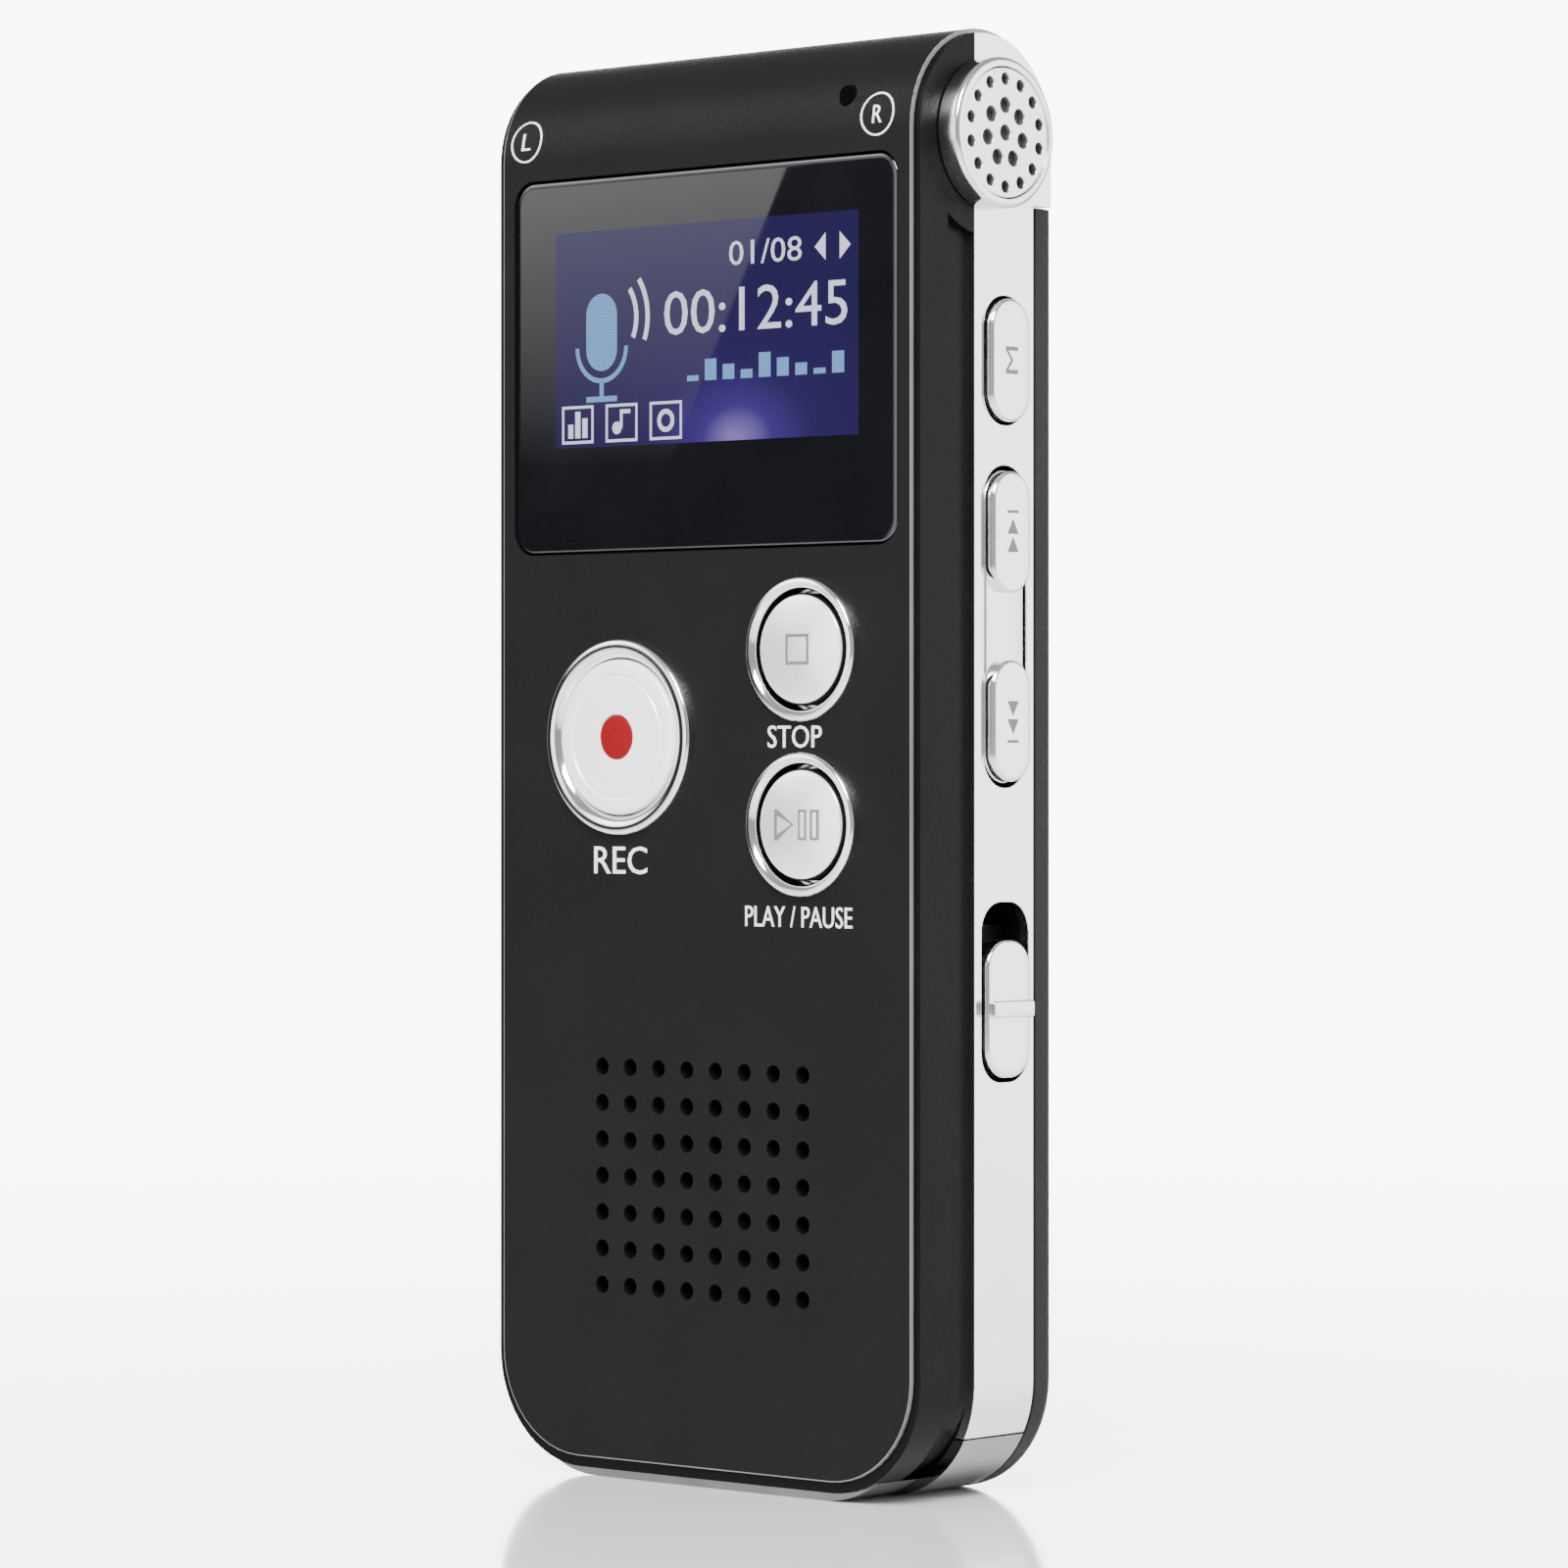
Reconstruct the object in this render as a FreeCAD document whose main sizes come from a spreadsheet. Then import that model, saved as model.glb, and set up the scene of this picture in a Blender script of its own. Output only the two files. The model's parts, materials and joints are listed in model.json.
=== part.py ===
import FreeCAD, Part
import math
import os
import re
import Sketcher

# Handheld voice recorder: a tall flat case with a rolled top that holds a microphone at each end.
# +X is to the right of somebody facing the screen, -Y is the front, +Z is up, and z = 0 is the base.

DIMENSIONS = (
    # case, from the front backwards; depths are distances from the roll's axis at y = 0
    ("half_width", 20.0), ("plate_half", 19.4), ("groove_half", 19.4), ("frame_half", 19.2),
    ("cavity_half", 18.0), ("plate_front", 7.3), ("tier_front", 7.0), ("wall_front", 5.8), ("tier_back", 4.1),
    ("trim_front", 1.3), ("trim_back", 5.06), ("frame_back", 5.2), ("wall_back", 6.3), ("case_back", 7.5),
    ("back_edge", 1.2), ("corner", 8.0), ("tier_base", 0.6), ("groove_base", 1.2), ("plate_base", 1.4),
    ("cavity_base", 2.0), ("roll_z", 94.0), ("roll_radius", 7.0), ("roll_bore", 5.8), ("plate_tail", 3.0),
    ("rear_top", 89.4), ("groove_top", 88.6), ("trim_skin", 0.8), ("trim_seam", 4.35), ("seam_gap", 0.1),
    ("lip_front", 6.6), ("lip_half", 19.0), ("middle_z", 45.0), ("beyond", 12.0), ("fit", 0.2),
    # window and display
    ("window_half", 18.3), ("window_base", 65.7), ("window_top", 92.6), ("window_corner", 1.8),
    ("window_front", 7.2), ("window_seat", 6.2), ("view_half", 15.6), ("view_base", 71.5), ("view_top", 90.5),
    ("panel_back", 4.3), ("bezel_back", 3.6), ("bezel_rim", 1.0), ("bezel_top", 91.0), ("ribbon_half", 5.2),
    ("ribbon_base", 66.5), ("ribbon_top", 76.5), ("ribbon_thick", 0.2),
    # front buttons
    ("rec_x", -7.7), ("rec_z", 52.65), ("rec_radius", 5.5), ("rec_ring", 6.95), ("rec_mark", 1.6),
    ("mark_floor", 7.6), ("mark_front", 7.85), ("key_x", 9.6), ("stop_z", 58.65), ("play_z", 46.55),
    ("key_radius", 4.0), ("key_ring", 5.0), ("ring_front", 7.9), ("ring_lip", 0.6), ("ring_bevel", 0.3),
    ("neck_gap", 0.05), ("key_front", 7.8), ("key_gap", 0.15), ("flange_step", 0.55), ("flange_front", 5.4),
    ("flange_back", 4.7), ("stem_radius", 1.4), ("stem_back", 3.05),
    # board and switches
    ("board_half", 16.4), ("board_front", 0.6), ("board_back", 0.4), ("board_base", 5.0), ("board_top", 86.0),
    ("board_corner", 3.85), ("switch_front", 2.2), ("plunger_front", 2.6), ("switch_half", 2.2),
    ("side_switch_half", 1.7), ("side_switch_in", 13.6), ("side_switch_out", 16.0), ("plunger_out", 16.6),
    ("side_switch_back", 3.4), ("plunger_radius", 0.8), ("chip_left", -4.0), ("processor_right", 3.0),
    ("processor_top", 78.5), ("processor_thick", 1.0), ("memory_right", 8.0), ("memory_base", 62.5),
    ("memory_top", 70.5), ("memory_thick", 1.2), ("crystal_left", 5.0), ("crystal_right", 8.2),
    ("crystal_top", 73.0), ("crystal_thick", 0.8),
    # side controls, all centred on side_y
    ("side_y", 2.0), ("key_half", 2.05), ("key_corner", 1.95), ("slot_corner", 2.15), ("side_key_out", 20.6),
    ("side_key_half", 4.25), ("menu_z", 78.55), ("ab_z", 58.5), ("side_flange_in", 17.2),
    ("side_flange_out", 17.8), ("side_stem_in", 16.95), ("rim_overhang", 0.6), ("track_z", 60.2),
    ("volume_z", 40.0), ("rocker_half", 10.8), ("saddle_half", 2.3), ("rocker_saddle", 20.15),
    ("rocker_out", 20.7), ("rocker_in", 17.9), ("rocker_tip", 17.0), ("rocker_reach", 8.5), ("pin_x", 18.6),
    ("pin_radius", 0.4), ("pin_bore", 0.45), ("pin_half", 3.0), ("rocker_gap", 0.3),
    # lock slide
    ("slot_base", 28.8), ("slot_top", 41.2), ("slot_half", 2.5), ("slider_half", 2.3), ("slider_base", 29.1),
    ("slider_top", 38.6), ("slider_out", 20.4), ("ridge_out", 20.9), ("ridge_base", 33.3),
    ("ridge_top", 34.5), ("carriage_in", 17.0), ("carriage_out", 17.8), ("carriage_half", 2.9),
    ("carriage_base", 27.6), ("carriage_top", 39.6), ("lever_in", 15.0), ("lever_front", 1.8),
    ("lever_back", 2.4), ("lever_base", 32.3), ("lever_top", 34.3), ("hold_floor", 14.7), ("hold_front", 1.6),
    ("hold_back", 2.6), ("hold_base", 31.3), ("hold_top", 39.2),
    # microphones
    ("mic_radius", 5.2), ("mic_bore", 4.5), ("mic_proud", 1.8), ("mic_floor", 0.5), ("grille_radius", 4.45),
    ("grille_thick", 0.6), ("grille_recess", 0.1), ("port_radius", 0.55), ("small_port", 0.42),
    ("inner_ports", 1.9), ("outer_ports", 3.7), ("boot_in", 16.4), ("boot_radius", 3.6),
    ("capsule_radius", 3.0), ("capsule_in", 15.4), ("capsule_out", 19.8), ("wire_x", 15.0),
    ("wire_radius", 0.2), ("wire_top", 95.0),
    # loudspeaker; depths are in front of the roll's axis
    ("speaker_z", 21.5), ("port_pitch_x", 2.73), ("port_pitch_z", 2.585), ("sound_port", 0.62),
    ("speaker_radius", 10.2), ("mesh_back", 5.6), ("gasket_back", 5.0), ("basket_bore", 9.3),
    ("basket_floor", 4.0), ("basket_back", 3.6), ("cone_radius", 9.2), ("cone_bowl", 7.36),
    ("cone_cap", 3.68), ("cone_front", 4.8), ("cone_middle", 4.6), ("cone_back", 4.4), ("magnet_radius", 6.0),
    # screws
    ("screw_x", 14.5), ("low_screw_z", 8.5), ("high_screw_z", 64.6), ("boss_radius", 1.7), ("rear_boss", 2.3),
    ("shank_radius", 0.75), ("pilot_radius", 0.8), ("head_radius", 1.5), ("head_seat", 6.2),
    ("head_back", 7.2), ("recess_floor", 6.6), ("recess_radius", 0.375), ("shank_front", 3.6),
    # sockets
    ("jack_y", 2.45), ("ear_z", 83.5), ("line_z", 74.5), ("jack_half", 3.0), ("jack_bore", 1.8),
    ("jack_nose", 2.4), ("jack_depth", 11.0), ("jack_face", 19.8), ("usb_half", 3.85), ("usb_front", 0.4),
    ("usb_back", 4.3), ("usb_corner", 0.8), ("usb_mouth", 0.3), ("usb_floor", 8.2), ("usb_top", 9.2),
    ("usb_wall", 0.35), ("usb_inner_corner", 0.4), ("tongue_half", 1.925), ("tongue_front", 2.2),
    ("tongue_back", 3.0), ("tongue_base", 1.3),
    # battery and indicator
    ("cell_half", 11.5), ("cell_front", 1.2), ("cell_back", 5.6), ("cell_base", 16.0), ("cell_top", 60.0),
    ("cell_corner", 1.0), ("tape_half", 5.75), ("tape_base", 21.0), ("tape_top", 55.0), ("plug_left", -9.0),
    ("plug_right", -5.0), ("plug_back", 2.4), ("plug_base", 11.0), ("plug_top", 14.0), ("red_lead", -8.0),
    ("black_lead", -6.0), ("lead_y", 1.8), ("lead_radius", 0.4), ("led_x", 13.3), ("led_z", 96.6),
    ("led_radius", 0.75), ("lens_front", 6.9), ("lens_back", 5.4),
)
PORT_COLUMNS = 8
PORT_ROWS = 7
INNER_COUNT = 7
OUTER_COUNT = 14
QUARTER = 90
HALF_TURN = 180
FULL_TURN = 360
SAME = 1e-6                          # two coordinates nearer than this are one

document = FreeCAD.newDocument("voice_recorder")
sheet = document.addObject("Spreadsheet::Sheet", "Dims")
for row, (alias, number) in enumerate(DIMENSIONS, start=1):
    sheet.set("A%d" % row, alias)
    sheet.set("B%d" % row, str(number))
    sheet.setAlias("B%d" % row, alias)
document.recompute()

ALIASES = {alias for alias, number in DIMENSIONS}
PLANES = {"X": "YZ_Plane", "Y": "XZ_Plane", "Z": "XY_Plane"}
NODES = []


def formula(text):
    """The expression with every sheet alias written out as a reference to its cell."""
    def reference(match):
        word = match.group(0)
        return "Dims." + word if word in ALIASES else word
    return re.sub(r"[a-z][a-z_]*", reference, text)


def number_of(text):
    return float(sheet.evalExpression(formula(text)))


def bind(item, prop, text):
    item.setExpression(prop, formula(text))


def minus(text):
    return "-(%s)" % text


def mirrored(side, text):
    """The expression itself on the right of the case, or its negative on the left."""
    return text if side > 0 else minus(text)


def span(side, low, high):
    """A range along X that lies on the right of the case, or its mirror image on the left."""
    return (low, high) if side > 0 else (minus(high), minus(low))


# ---------- PartDesign bodies ----------

def new_body(label):
    body = document.addObject("PartDesign::Body", label)
    body.Label = label
    NODES.append(body)
    return body


def own_axis(body, role):
    return [feature for feature in body.Origin.OriginFeatures if feature.Role == role][0]


def new_sketch(body, axis, reach):
    """A sketch square to an axis, on the side of the range that its features grow from."""
    sketch = body.newObject("Sketcher::SketchObject", body.Name + "_sketch")
    sketch.AttachmentSupport = (own_axis(body, PLANES[axis]), [""])
    sketch.MapMode = "FlatFace"
    start = minus(reach[1]) if axis == "Y" else reach[0]
    bind(sketch, "AttachmentOffset.Base.z", start)
    return sketch


def fix(sketch, kind, geometry, point, text):
    index = sketch.addConstraint(Sketcher.Constraint(kind, -1, 1, geometry, point, number_of(text)))
    bind(sketch, "Constraints[%d]" % index, text)


def draw_circle(sketch, centre, radius):
    middle = FreeCAD.Vector(number_of(centre[0]), number_of(centre[1]), 0)
    ring = sketch.addGeometry(Part.Circle(middle, FreeCAD.Vector(0, 0, 1), number_of(radius)))
    fix(sketch, "DistanceX", ring, 3, centre[0])
    fix(sketch, "DistanceY", ring, 3, centre[1])
    size = sketch.addConstraint(Sketcher.Constraint("Radius", ring, number_of(radius)))
    bind(sketch, "Constraints[%d]" % size, radius)


def draw_rectangle(sketch, across, up):
    corners = [(across[0], up[0]), (across[1], up[0]), (across[1], up[1]), (across[0], up[1])]
    points = [FreeCAD.Vector(number_of(u), number_of(v), 0) for u, v in corners]
    first = sketch.GeometryCount
    for i in range(4):
        sketch.addGeometry(Part.LineSegment(points[i], points[(i + 1) % 4]))
    for i in range(4):
        sketch.addConstraint(Sketcher.Constraint("Coincident", first + i, 2, first + (i + 1) % 4, 1))
        fix(sketch, "DistanceX", first + i, 1, corners[i][0])
        fix(sketch, "DistanceY", first + i, 1, corners[i][1])


def draw_rounded(sketch, across, up, radius):
    """A rectangle whose four corners are tangent arcs of one radius."""
    low, high = number_of(across[0]), number_of(across[1])
    bottom, top = number_of(up[0]), number_of(up[1])
    r = number_of(radius)
    centres = [(low + r, bottom + r), (high - r, bottom + r), (high - r, top - r), (low + r, top - r)]
    centre_texts = [("%s + (%s)" % (across[0], radius), "%s + (%s)" % (up[0], radius)),
                    ("%s - (%s)" % (across[1], radius), "%s + (%s)" % (up[0], radius)),
                    ("%s - (%s)" % (across[1], radius), "%s - (%s)" % (up[1], radius)),
                    ("%s + (%s)" % (across[0], radius), "%s - (%s)" % (up[1], radius))]
    normal = FreeCAD.Vector(0, 0, 1)
    arcs = []
    for i, (u, v) in enumerate(centres):
        circle = Part.Circle(FreeCAD.Vector(u, v, 0), normal, r)
        turn = math.pi + i * math.pi / 2
        arcs.append(sketch.addGeometry(Part.ArcOfCircle(circle, turn, turn + math.pi / 2)))
    lines = []
    for i in range(4):
        start = sketch.Geometry[arcs[i]].EndPoint
        end = sketch.Geometry[arcs[(i + 1) % 4]].StartPoint
        lines.append(sketch.addGeometry(Part.LineSegment(start, end)))
    for i in range(4):
        sketch.addConstraint(Sketcher.Constraint("Tangent", arcs[i], 2, lines[i], 1))
        sketch.addConstraint(Sketcher.Constraint("Tangent", lines[i], 2, arcs[(i + 1) % 4], 1))
    for i in (1, 2, 3):
        sketch.addConstraint(Sketcher.Constraint("Equal", arcs[0], arcs[i]))
    size = sketch.addConstraint(Sketcher.Constraint("Radius", arcs[0], r))
    bind(sketch, "Constraints[%d]" % size, radius)
    sketch.addConstraint(Sketcher.Constraint("Horizontal", lines[0]))
    sketch.addConstraint(Sketcher.Constraint("Vertical", lines[1]))
    for i in (0, 2):
        fix(sketch, "DistanceX", arcs[i], 3, centre_texts[i][0])
        fix(sketch, "DistanceY", arcs[i], 3, centre_texts[i][1])


def grow(body, kind, sketch, reach):
    feature = body.newObject("PartDesign::" + kind, body.Name + "_" + kind.lower())
    feature.Profile = sketch
    bind(feature, "Length", "%s - (%s)" % (reach[1], reach[0]))
    feature.Reversed = kind == "Pocket"
    body.Tip = feature
    return feature


def shape_block(body, kind, axis, reach, across, up, radius=None):
    sketch = new_sketch(body, axis, reach)
    if radius is None:
        draw_rectangle(sketch, across, up)
    else:
        draw_rounded(sketch, across, up, radius)
    return grow(body, kind, sketch, reach)


def shape_round(body, kind, axis, reach, circles):
    sketch = new_sketch(body, axis, reach)
    for centre, radius in circles:
        draw_circle(sketch, centre, radius)
    return grow(body, kind, sketch, reach)


def add(body, axis, reach, across, up, radius=None):
    return shape_block(body, "Pad", axis, reach, across, up, radius)


def cut(body, axis, reach, across, up, radius=None):
    return shape_block(body, "Pocket", axis, reach, across, up, radius)


def add_round(body, axis, reach, *circles):
    return shape_round(body, "Pad", axis, reach, circles)


def cut_round(body, axis, reach, *circles):
    return shape_round(body, "Pocket", axis, reach, circles)


# ---------- Part primitives ----------

def part_box(name, x, y, z):
    box = document.addObject("Part::Box", name)
    for prop, reach in (("Length", x), ("Width", y), ("Height", z)):
        bind(box, prop, "%s - (%s)" % (reach[1], reach[0]))
    for letter, reach in (("x", x), ("y", y), ("z", z)):
        bind(box, "Placement.Base." + letter, reach[0])
    return box


TURNS = {"X": FreeCAD.Rotation(FreeCAD.Vector(0, 1, 0), QUARTER),
         "Y": FreeCAD.Rotation(FreeCAD.Vector(1, 0, 0), -QUARTER),
         "Z": FreeCAD.Rotation()}


def part_rod(name, axis, reach, centre, radius):
    """A cylinder along an axis; centre gives its two other coordinates in X, Y, Z order."""
    rod = document.addObject("Part::Cylinder", name)
    rod.Placement = FreeCAD.Placement(FreeCAD.Vector(), TURNS[axis])
    bind(rod, "Radius", radius)
    bind(rod, "Height", "%s - (%s)" % (reach[1], reach[0]))
    others = iter(centre)
    for letter in "xyz":
        bind(rod, "Placement.Base." + letter, reach[0] if letter == axis.lower() else next(others))
    return rod


def part_cut(name, base, tool):
    result = document.addObject("Part::Cut", name)
    result.Base = base
    result.Tool = tool
    return result


def part_join(name, pieces):
    result = document.addObject("Part::MultiFuse", name)
    result.Shapes = pieces
    return result


def part_group(name, pieces):
    result = document.addObject("Part::Compound", name)
    result.Links = pieces
    return result


def keep(item, label):
    item.Label = label
    NODES.append(item)


# ---------- case ----------

BOTH = ("-half_width", "half_width")
SCREWS = [(side, height) for side in (1, -1) for height in ("low_screw_z", "high_screw_z")]
BUTTONS = {"rec": ("rec_x", "rec_z", "rec_radius", "rec_ring"),
           "stop": ("key_x", "stop_z", "key_radius", "key_ring"),
           "play": ("key_x", "play_z", "key_radius", "key_ring")}


def front_holes(body, reach):
    """The three button openings, the sound ports of the loudspeaker and the indicator's hole."""
    rings = [((x, z), "%s - ring_lip" % ring) for x, z, radius, ring in BUTTONS.values()]
    cut_round(body, "Y", reach, *rings)
    first_x = "-%d * port_pitch_x / 2" % (PORT_COLUMNS - 1)
    heights = ["speaker_z + %d * port_pitch_z" % (row - PORT_ROWS // 2) for row in range(PORT_ROWS)]
    ports = cut_round(body, "Y", reach, *[((first_x, height), "sound_port") for height in heights])
    pattern = body.newObject("PartDesign::LinearPattern", body.Name + "_ports")
    pattern.Originals = [ports]
    pattern.Direction = (ports.Profile[0], ["H_Axis"])
    pattern.Occurrences = PORT_COLUMNS
    bind(pattern, "Length", "%d * port_pitch_x" % (PORT_COLUMNS - 1))
    body.Tip = pattern
    cut_round(body, "Y", ("-beyond", "-tier_back"), (("led_x", "led_z"), "led_radius"))


def front_plate():
    body = new_body("front_plate")
    skin = ("-plate_front", "-tier_front")
    across = ("-plate_half", "plate_half")
    add(body, "Y", skin, across, ("plate_base", "middle_z + corner"), "corner - (half_width - plate_half)")
    add(body, "Y", skin, across, ("middle_z", "roll_z"))
    add_round(body, "X", across, (("0", "roll_z"), "plate_front"), (("0", "roll_z"), "tier_front"))
    cut(body, "X", across, ("-tier_front", "beyond"), ("roll_z - beyond", "roll_z"))
    cut(body, "X", across, ("plate_tail", "beyond"), ("roll_z - fit", "roll_z + beyond"))
    cut(body, "Y", skin, ("-window_half", "window_half"), ("window_base", "window_top"), "window_corner")
    front_holes(body, skin)


def front_housing():
    body = new_body("front_housing")
    tier = ("-tier_front", "-tier_back")
    step = ("-tier_back", "-trim_front")
    add(body, "Y", tier, BOTH, ("tier_base", "middle_z + corner"), "corner")
    add(body, "Y", tier, BOTH, ("middle_z", "roll_z"))
    groove = ("-groove_half", "groove_half")
    add(body, "Y", step, groove, ("groove_base", "middle_z + corner"), "corner - (half_width - groove_half)")
    add(body, "Y", step, groove, ("middle_z", "roll_z"))
    add(body, "Y", step, BOTH, ("groove_top", "roll_z"))
    add(body, "Y", ("-trim_front", "roll_radius"), BOTH, ("rear_top", "roll_z"))
    add_round(body, "X", BOTH, (("0", "roll_z"), "roll_radius"))
    cut(body, "X", BOTH, ("-trim_front", "beyond"), ("roll_z - beyond", "rear_top"))
    hollow = ("-cavity_half", "cavity_half")
    cut(body, "Y", ("-wall_front", "0"), hollow, ("cavity_base", "window_top"), "corner - cavity_base")
    cut_round(body, "X", hollow, (("0", "roll_z"), "roll_bore"))
    cut(body, "X", hollow, ("-roll_bore", "roll_bore"), ("middle_z + corner", "roll_z"))
    for side in (1, -1):
        outside = span(side, "frame_half", "half_width")
        cut(body, "X", outside, ("-trim_front", "beyond"), ("rear_top", "roll_z + beyond"))
        cut_round(body, "X", span(side, "cavity_half", "half_width"), (("0", "roll_z"), "boot_radius"))
    window = ("-window_half", "window_half")
    cut(body, "Y", ("-tier_front", "-window_seat"), window, ("window_base", "window_top"), "window_corner")
    cut(body, "Y", ("-window_seat", "-wall_front"), ("-view_half", "view_half"), ("view_base", "view_top"))
    front_holes(body, ("-tier_front", "-wall_front"))
    posts = [((mirrored(side, "screw_x"), height), "boss_radius") for side, height in SCREWS]
    add_round(body, "Y", ("-wall_front", "-board_front"), *posts)
    pilots = [((mirrored(side, "screw_x"), height), "pilot_radius") for side, height in SCREWS]
    cut_round(body, "Y", ("-shank_front - fit", "-board_front"), *pilots)


def rear_housing():
    body = new_body("rear_housing")
    reach = ("frame_back", "case_back")
    add(body, "Y", reach, BOTH, ("0", "middle_z + corner"), "corner")
    wall = add(body, "Y", reach, BOTH, ("middle_z", "rear_top - seam_gap"))
    document.recompute()
    solid = wall.Shape
    back = number_of("case_back")
    top = number_of("rear_top - seam_gap")
    on_back = ["Edge%d" % (i + 1) for i, edge in enumerate(solid.Edges)
               if abs(edge.BoundBox.YMin - back) < SAME and edge.BoundBox.ZMin < top - SAME]
    rounded = body.newObject("PartDesign::Fillet", "rear_edges")
    rounded.Base = (wall, on_back)
    bind(rounded, "Radius", "back_edge")
    body.Tip = rounded
    depth = ("frame_back", "wall_back")
    inner = ("-cavity_half", "cavity_half")
    cut(body, "Y", depth, inner, ("cavity_base", "middle_z + corner"), "corner - cavity_base")
    cut(body, "Y", depth, inner, ("middle_z", "rear_top - cavity_base"))
    posts = [((mirrored(side, "screw_x"), height), "rear_boss") for side, height in SCREWS]
    add_round(body, "Y", ("board_back", "wall_back"), *posts)
    seats = [((mirrored(side, "screw_x"), height), "head_radius + fit") for side, height in SCREWS]
    cut_round(body, "Y", ("head_seat", "case_back"), *seats)
    shafts = [((mirrored(side, "screw_x"), height), "shank_radius + seam_gap") for side, height in SCREWS]
    cut_round(body, "Y", ("board_back", "head_seat"), *shafts)


def side_openings(body, side):
    """Slots and holes for the controls and sockets of one side, through the frame and its trim."""
    through = span(side, "cavity_half", "half_width")
    slot_y = ("side_y - key_half - fit", "side_y + key_half + fit")
    wide_y = ("side_y - slot_half", "side_y + slot_half")
    button_z, rocker_z = ("menu_z", "track_z") if side > 0 else ("ab_z", "volume_z")
    height = ("%s - side_key_half - fit" % button_z, "%s + side_key_half + fit" % button_z)
    cut(body, "X", through, slot_y, height, "slot_corner")
    height = ("%s - rocker_half - rocker_gap" % rocker_z, "%s + rocker_half + rocker_gap" % rocker_z)
    cut(body, "X", through, slot_y, height, "slot_corner")
    if side > 0:
        cut(body, "X", through, wide_y, ("slot_base", "slot_top"), "key_half")
    else:
        holes = [(("jack_y", height), "jack_nose + seam_gap") for height in ("ear_z", "line_z")]
        cut_round(body, "X", through, *holes)


def u_band(body, outer, inner, reach, skin_outer, skin_inner):
    """A band along the sides and the bottom of the case, between two outlines."""
    outside = ("-%s" % outer, outer)
    inside = ("-%s" % inner, inner)
    add(body, "Y", reach, outside, (skin_outer, "middle_z + corner"), "corner - (%s)" % skin_outer)
    add(body, "Y", reach, outside, ("middle_z", "rear_top"))
    cut(body, "Y", reach, inside, (skin_inner, "middle_z + corner"), "corner - (%s)" % skin_inner)
    cut(body, "Y", reach, inside, ("middle_z", "rear_top"))


def usb_opening(body):
    across = ("-usb_half - fit", "usb_half + fit")
    cut(body, "Z", ("0", "cavity_base"), across, ("usb_front - fit", "usb_back + fit"))


def mid_frame():
    body = new_body("mid_frame")
    u_band(body, "frame_half", "cavity_half", ("-trim_front", "frame_back"), "trim_skin", "cavity_base")
    for side, rocker_z in ((1, "track_z"), (-1, "volume_z")):
        side_openings(body, side)
        pin = ((mirrored(side, "pin_x"), rocker_z), "pin_radius")
        cut_round(body, "Y", ("side_y - pin_half", "side_y + pin_half"), pin)
    usb_opening(body)


def side_trim(label, side):
    body = new_body(label)
    band = ("-trim_front", "trim_back")
    u_band(body, "half_width", "frame_half", band, "0", "trim_skin")
    cut(body, "Y", band, span(side, "-half_width", "0"), ("0", "rear_top"))
    cut(body, "Y", band, BOTH, ("0", "trim_seam"))
    skin = span(side, "frame_half", "half_width")
    add(body, "X", skin, ("-trim_front", "roll_radius"), ("rear_top", "roll_z"))
    add_round(body, "X", skin, (("0", "roll_z"), "roll_radius"))
    cut(body, "X", skin, ("-beyond", "-trim_front"), ("rear_top - beyond", "roll_z + beyond"))
    cut(body, "X", skin, ("trim_back", "beyond"), ("rear_top - beyond", "rear_top"))
    cut_round(body, "X", skin, (("0", "roll_z"), "boot_radius"))
    side_openings(body, side)


def bottom_trim():
    """The bottom of the chrome band, with a lip under the tier that thins out at the corners."""
    body = new_body("bottom_trim")
    band = ("-trim_front", "trim_back")
    u_band(body, "half_width", "frame_half", band, "0", "trim_skin")
    lip = ("-lip_front", "-trim_front")
    add(body, "Y", lip, ("-lip_half", "lip_half"), ("0", "middle_z"), "corner")
    cut(body, "Y", lip, BOTH, ("tier_base", "middle_z + corner"), "corner")
    cut(body, "Y", ("-lip_front", "trim_back"), BOTH, ("trim_seam - seam_gap", "rear_top"))
    usb_opening(body)


# ---------- display ----------

def display():
    window = new_body("display_window")
    across = ("-window_half + seam_gap", "window_half - seam_gap")
    up = ("window_base + seam_gap", "window_top - seam_gap")
    add(window, "Y", ("-window_front", "-window_seat"), across, up, "window_corner")
    frame = new_body("display_frame")
    rim = ("-view_half - bezel_rim", "view_half + bezel_rim")
    add(frame, "Y", ("-wall_front", "-bezel_back"), rim, ("view_base - bezel_rim", "bezel_top"))
    cut(frame, "Y", ("-wall_front", "-panel_back"), ("-view_half", "view_half"), ("view_base", "view_top"))
    panel = ("-wall_front + seam_gap", "-panel_back")
    width = ("-view_half + fit", "view_half - fit")
    keep(part_box("display_panel", width, panel, ("view_base + fit", "view_top - fit")), "display_panel")
    strip = ("-ribbon_half", "ribbon_half")
    behind = ("-bezel_back", "-bezel_back + ribbon_thick")
    flat = part_box("ribbon_flat", strip, behind, ("ribbon_base", "ribbon_top"))
    fold = ("ribbon_base", "ribbon_base + ribbon_thick")
    bend = part_box("ribbon_bend", strip, ("-bezel_back", "-board_front"), fold)
    keep(part_join("display_ribbon", [flat, bend]), "display_ribbon")


# ---------- front buttons ----------

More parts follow.
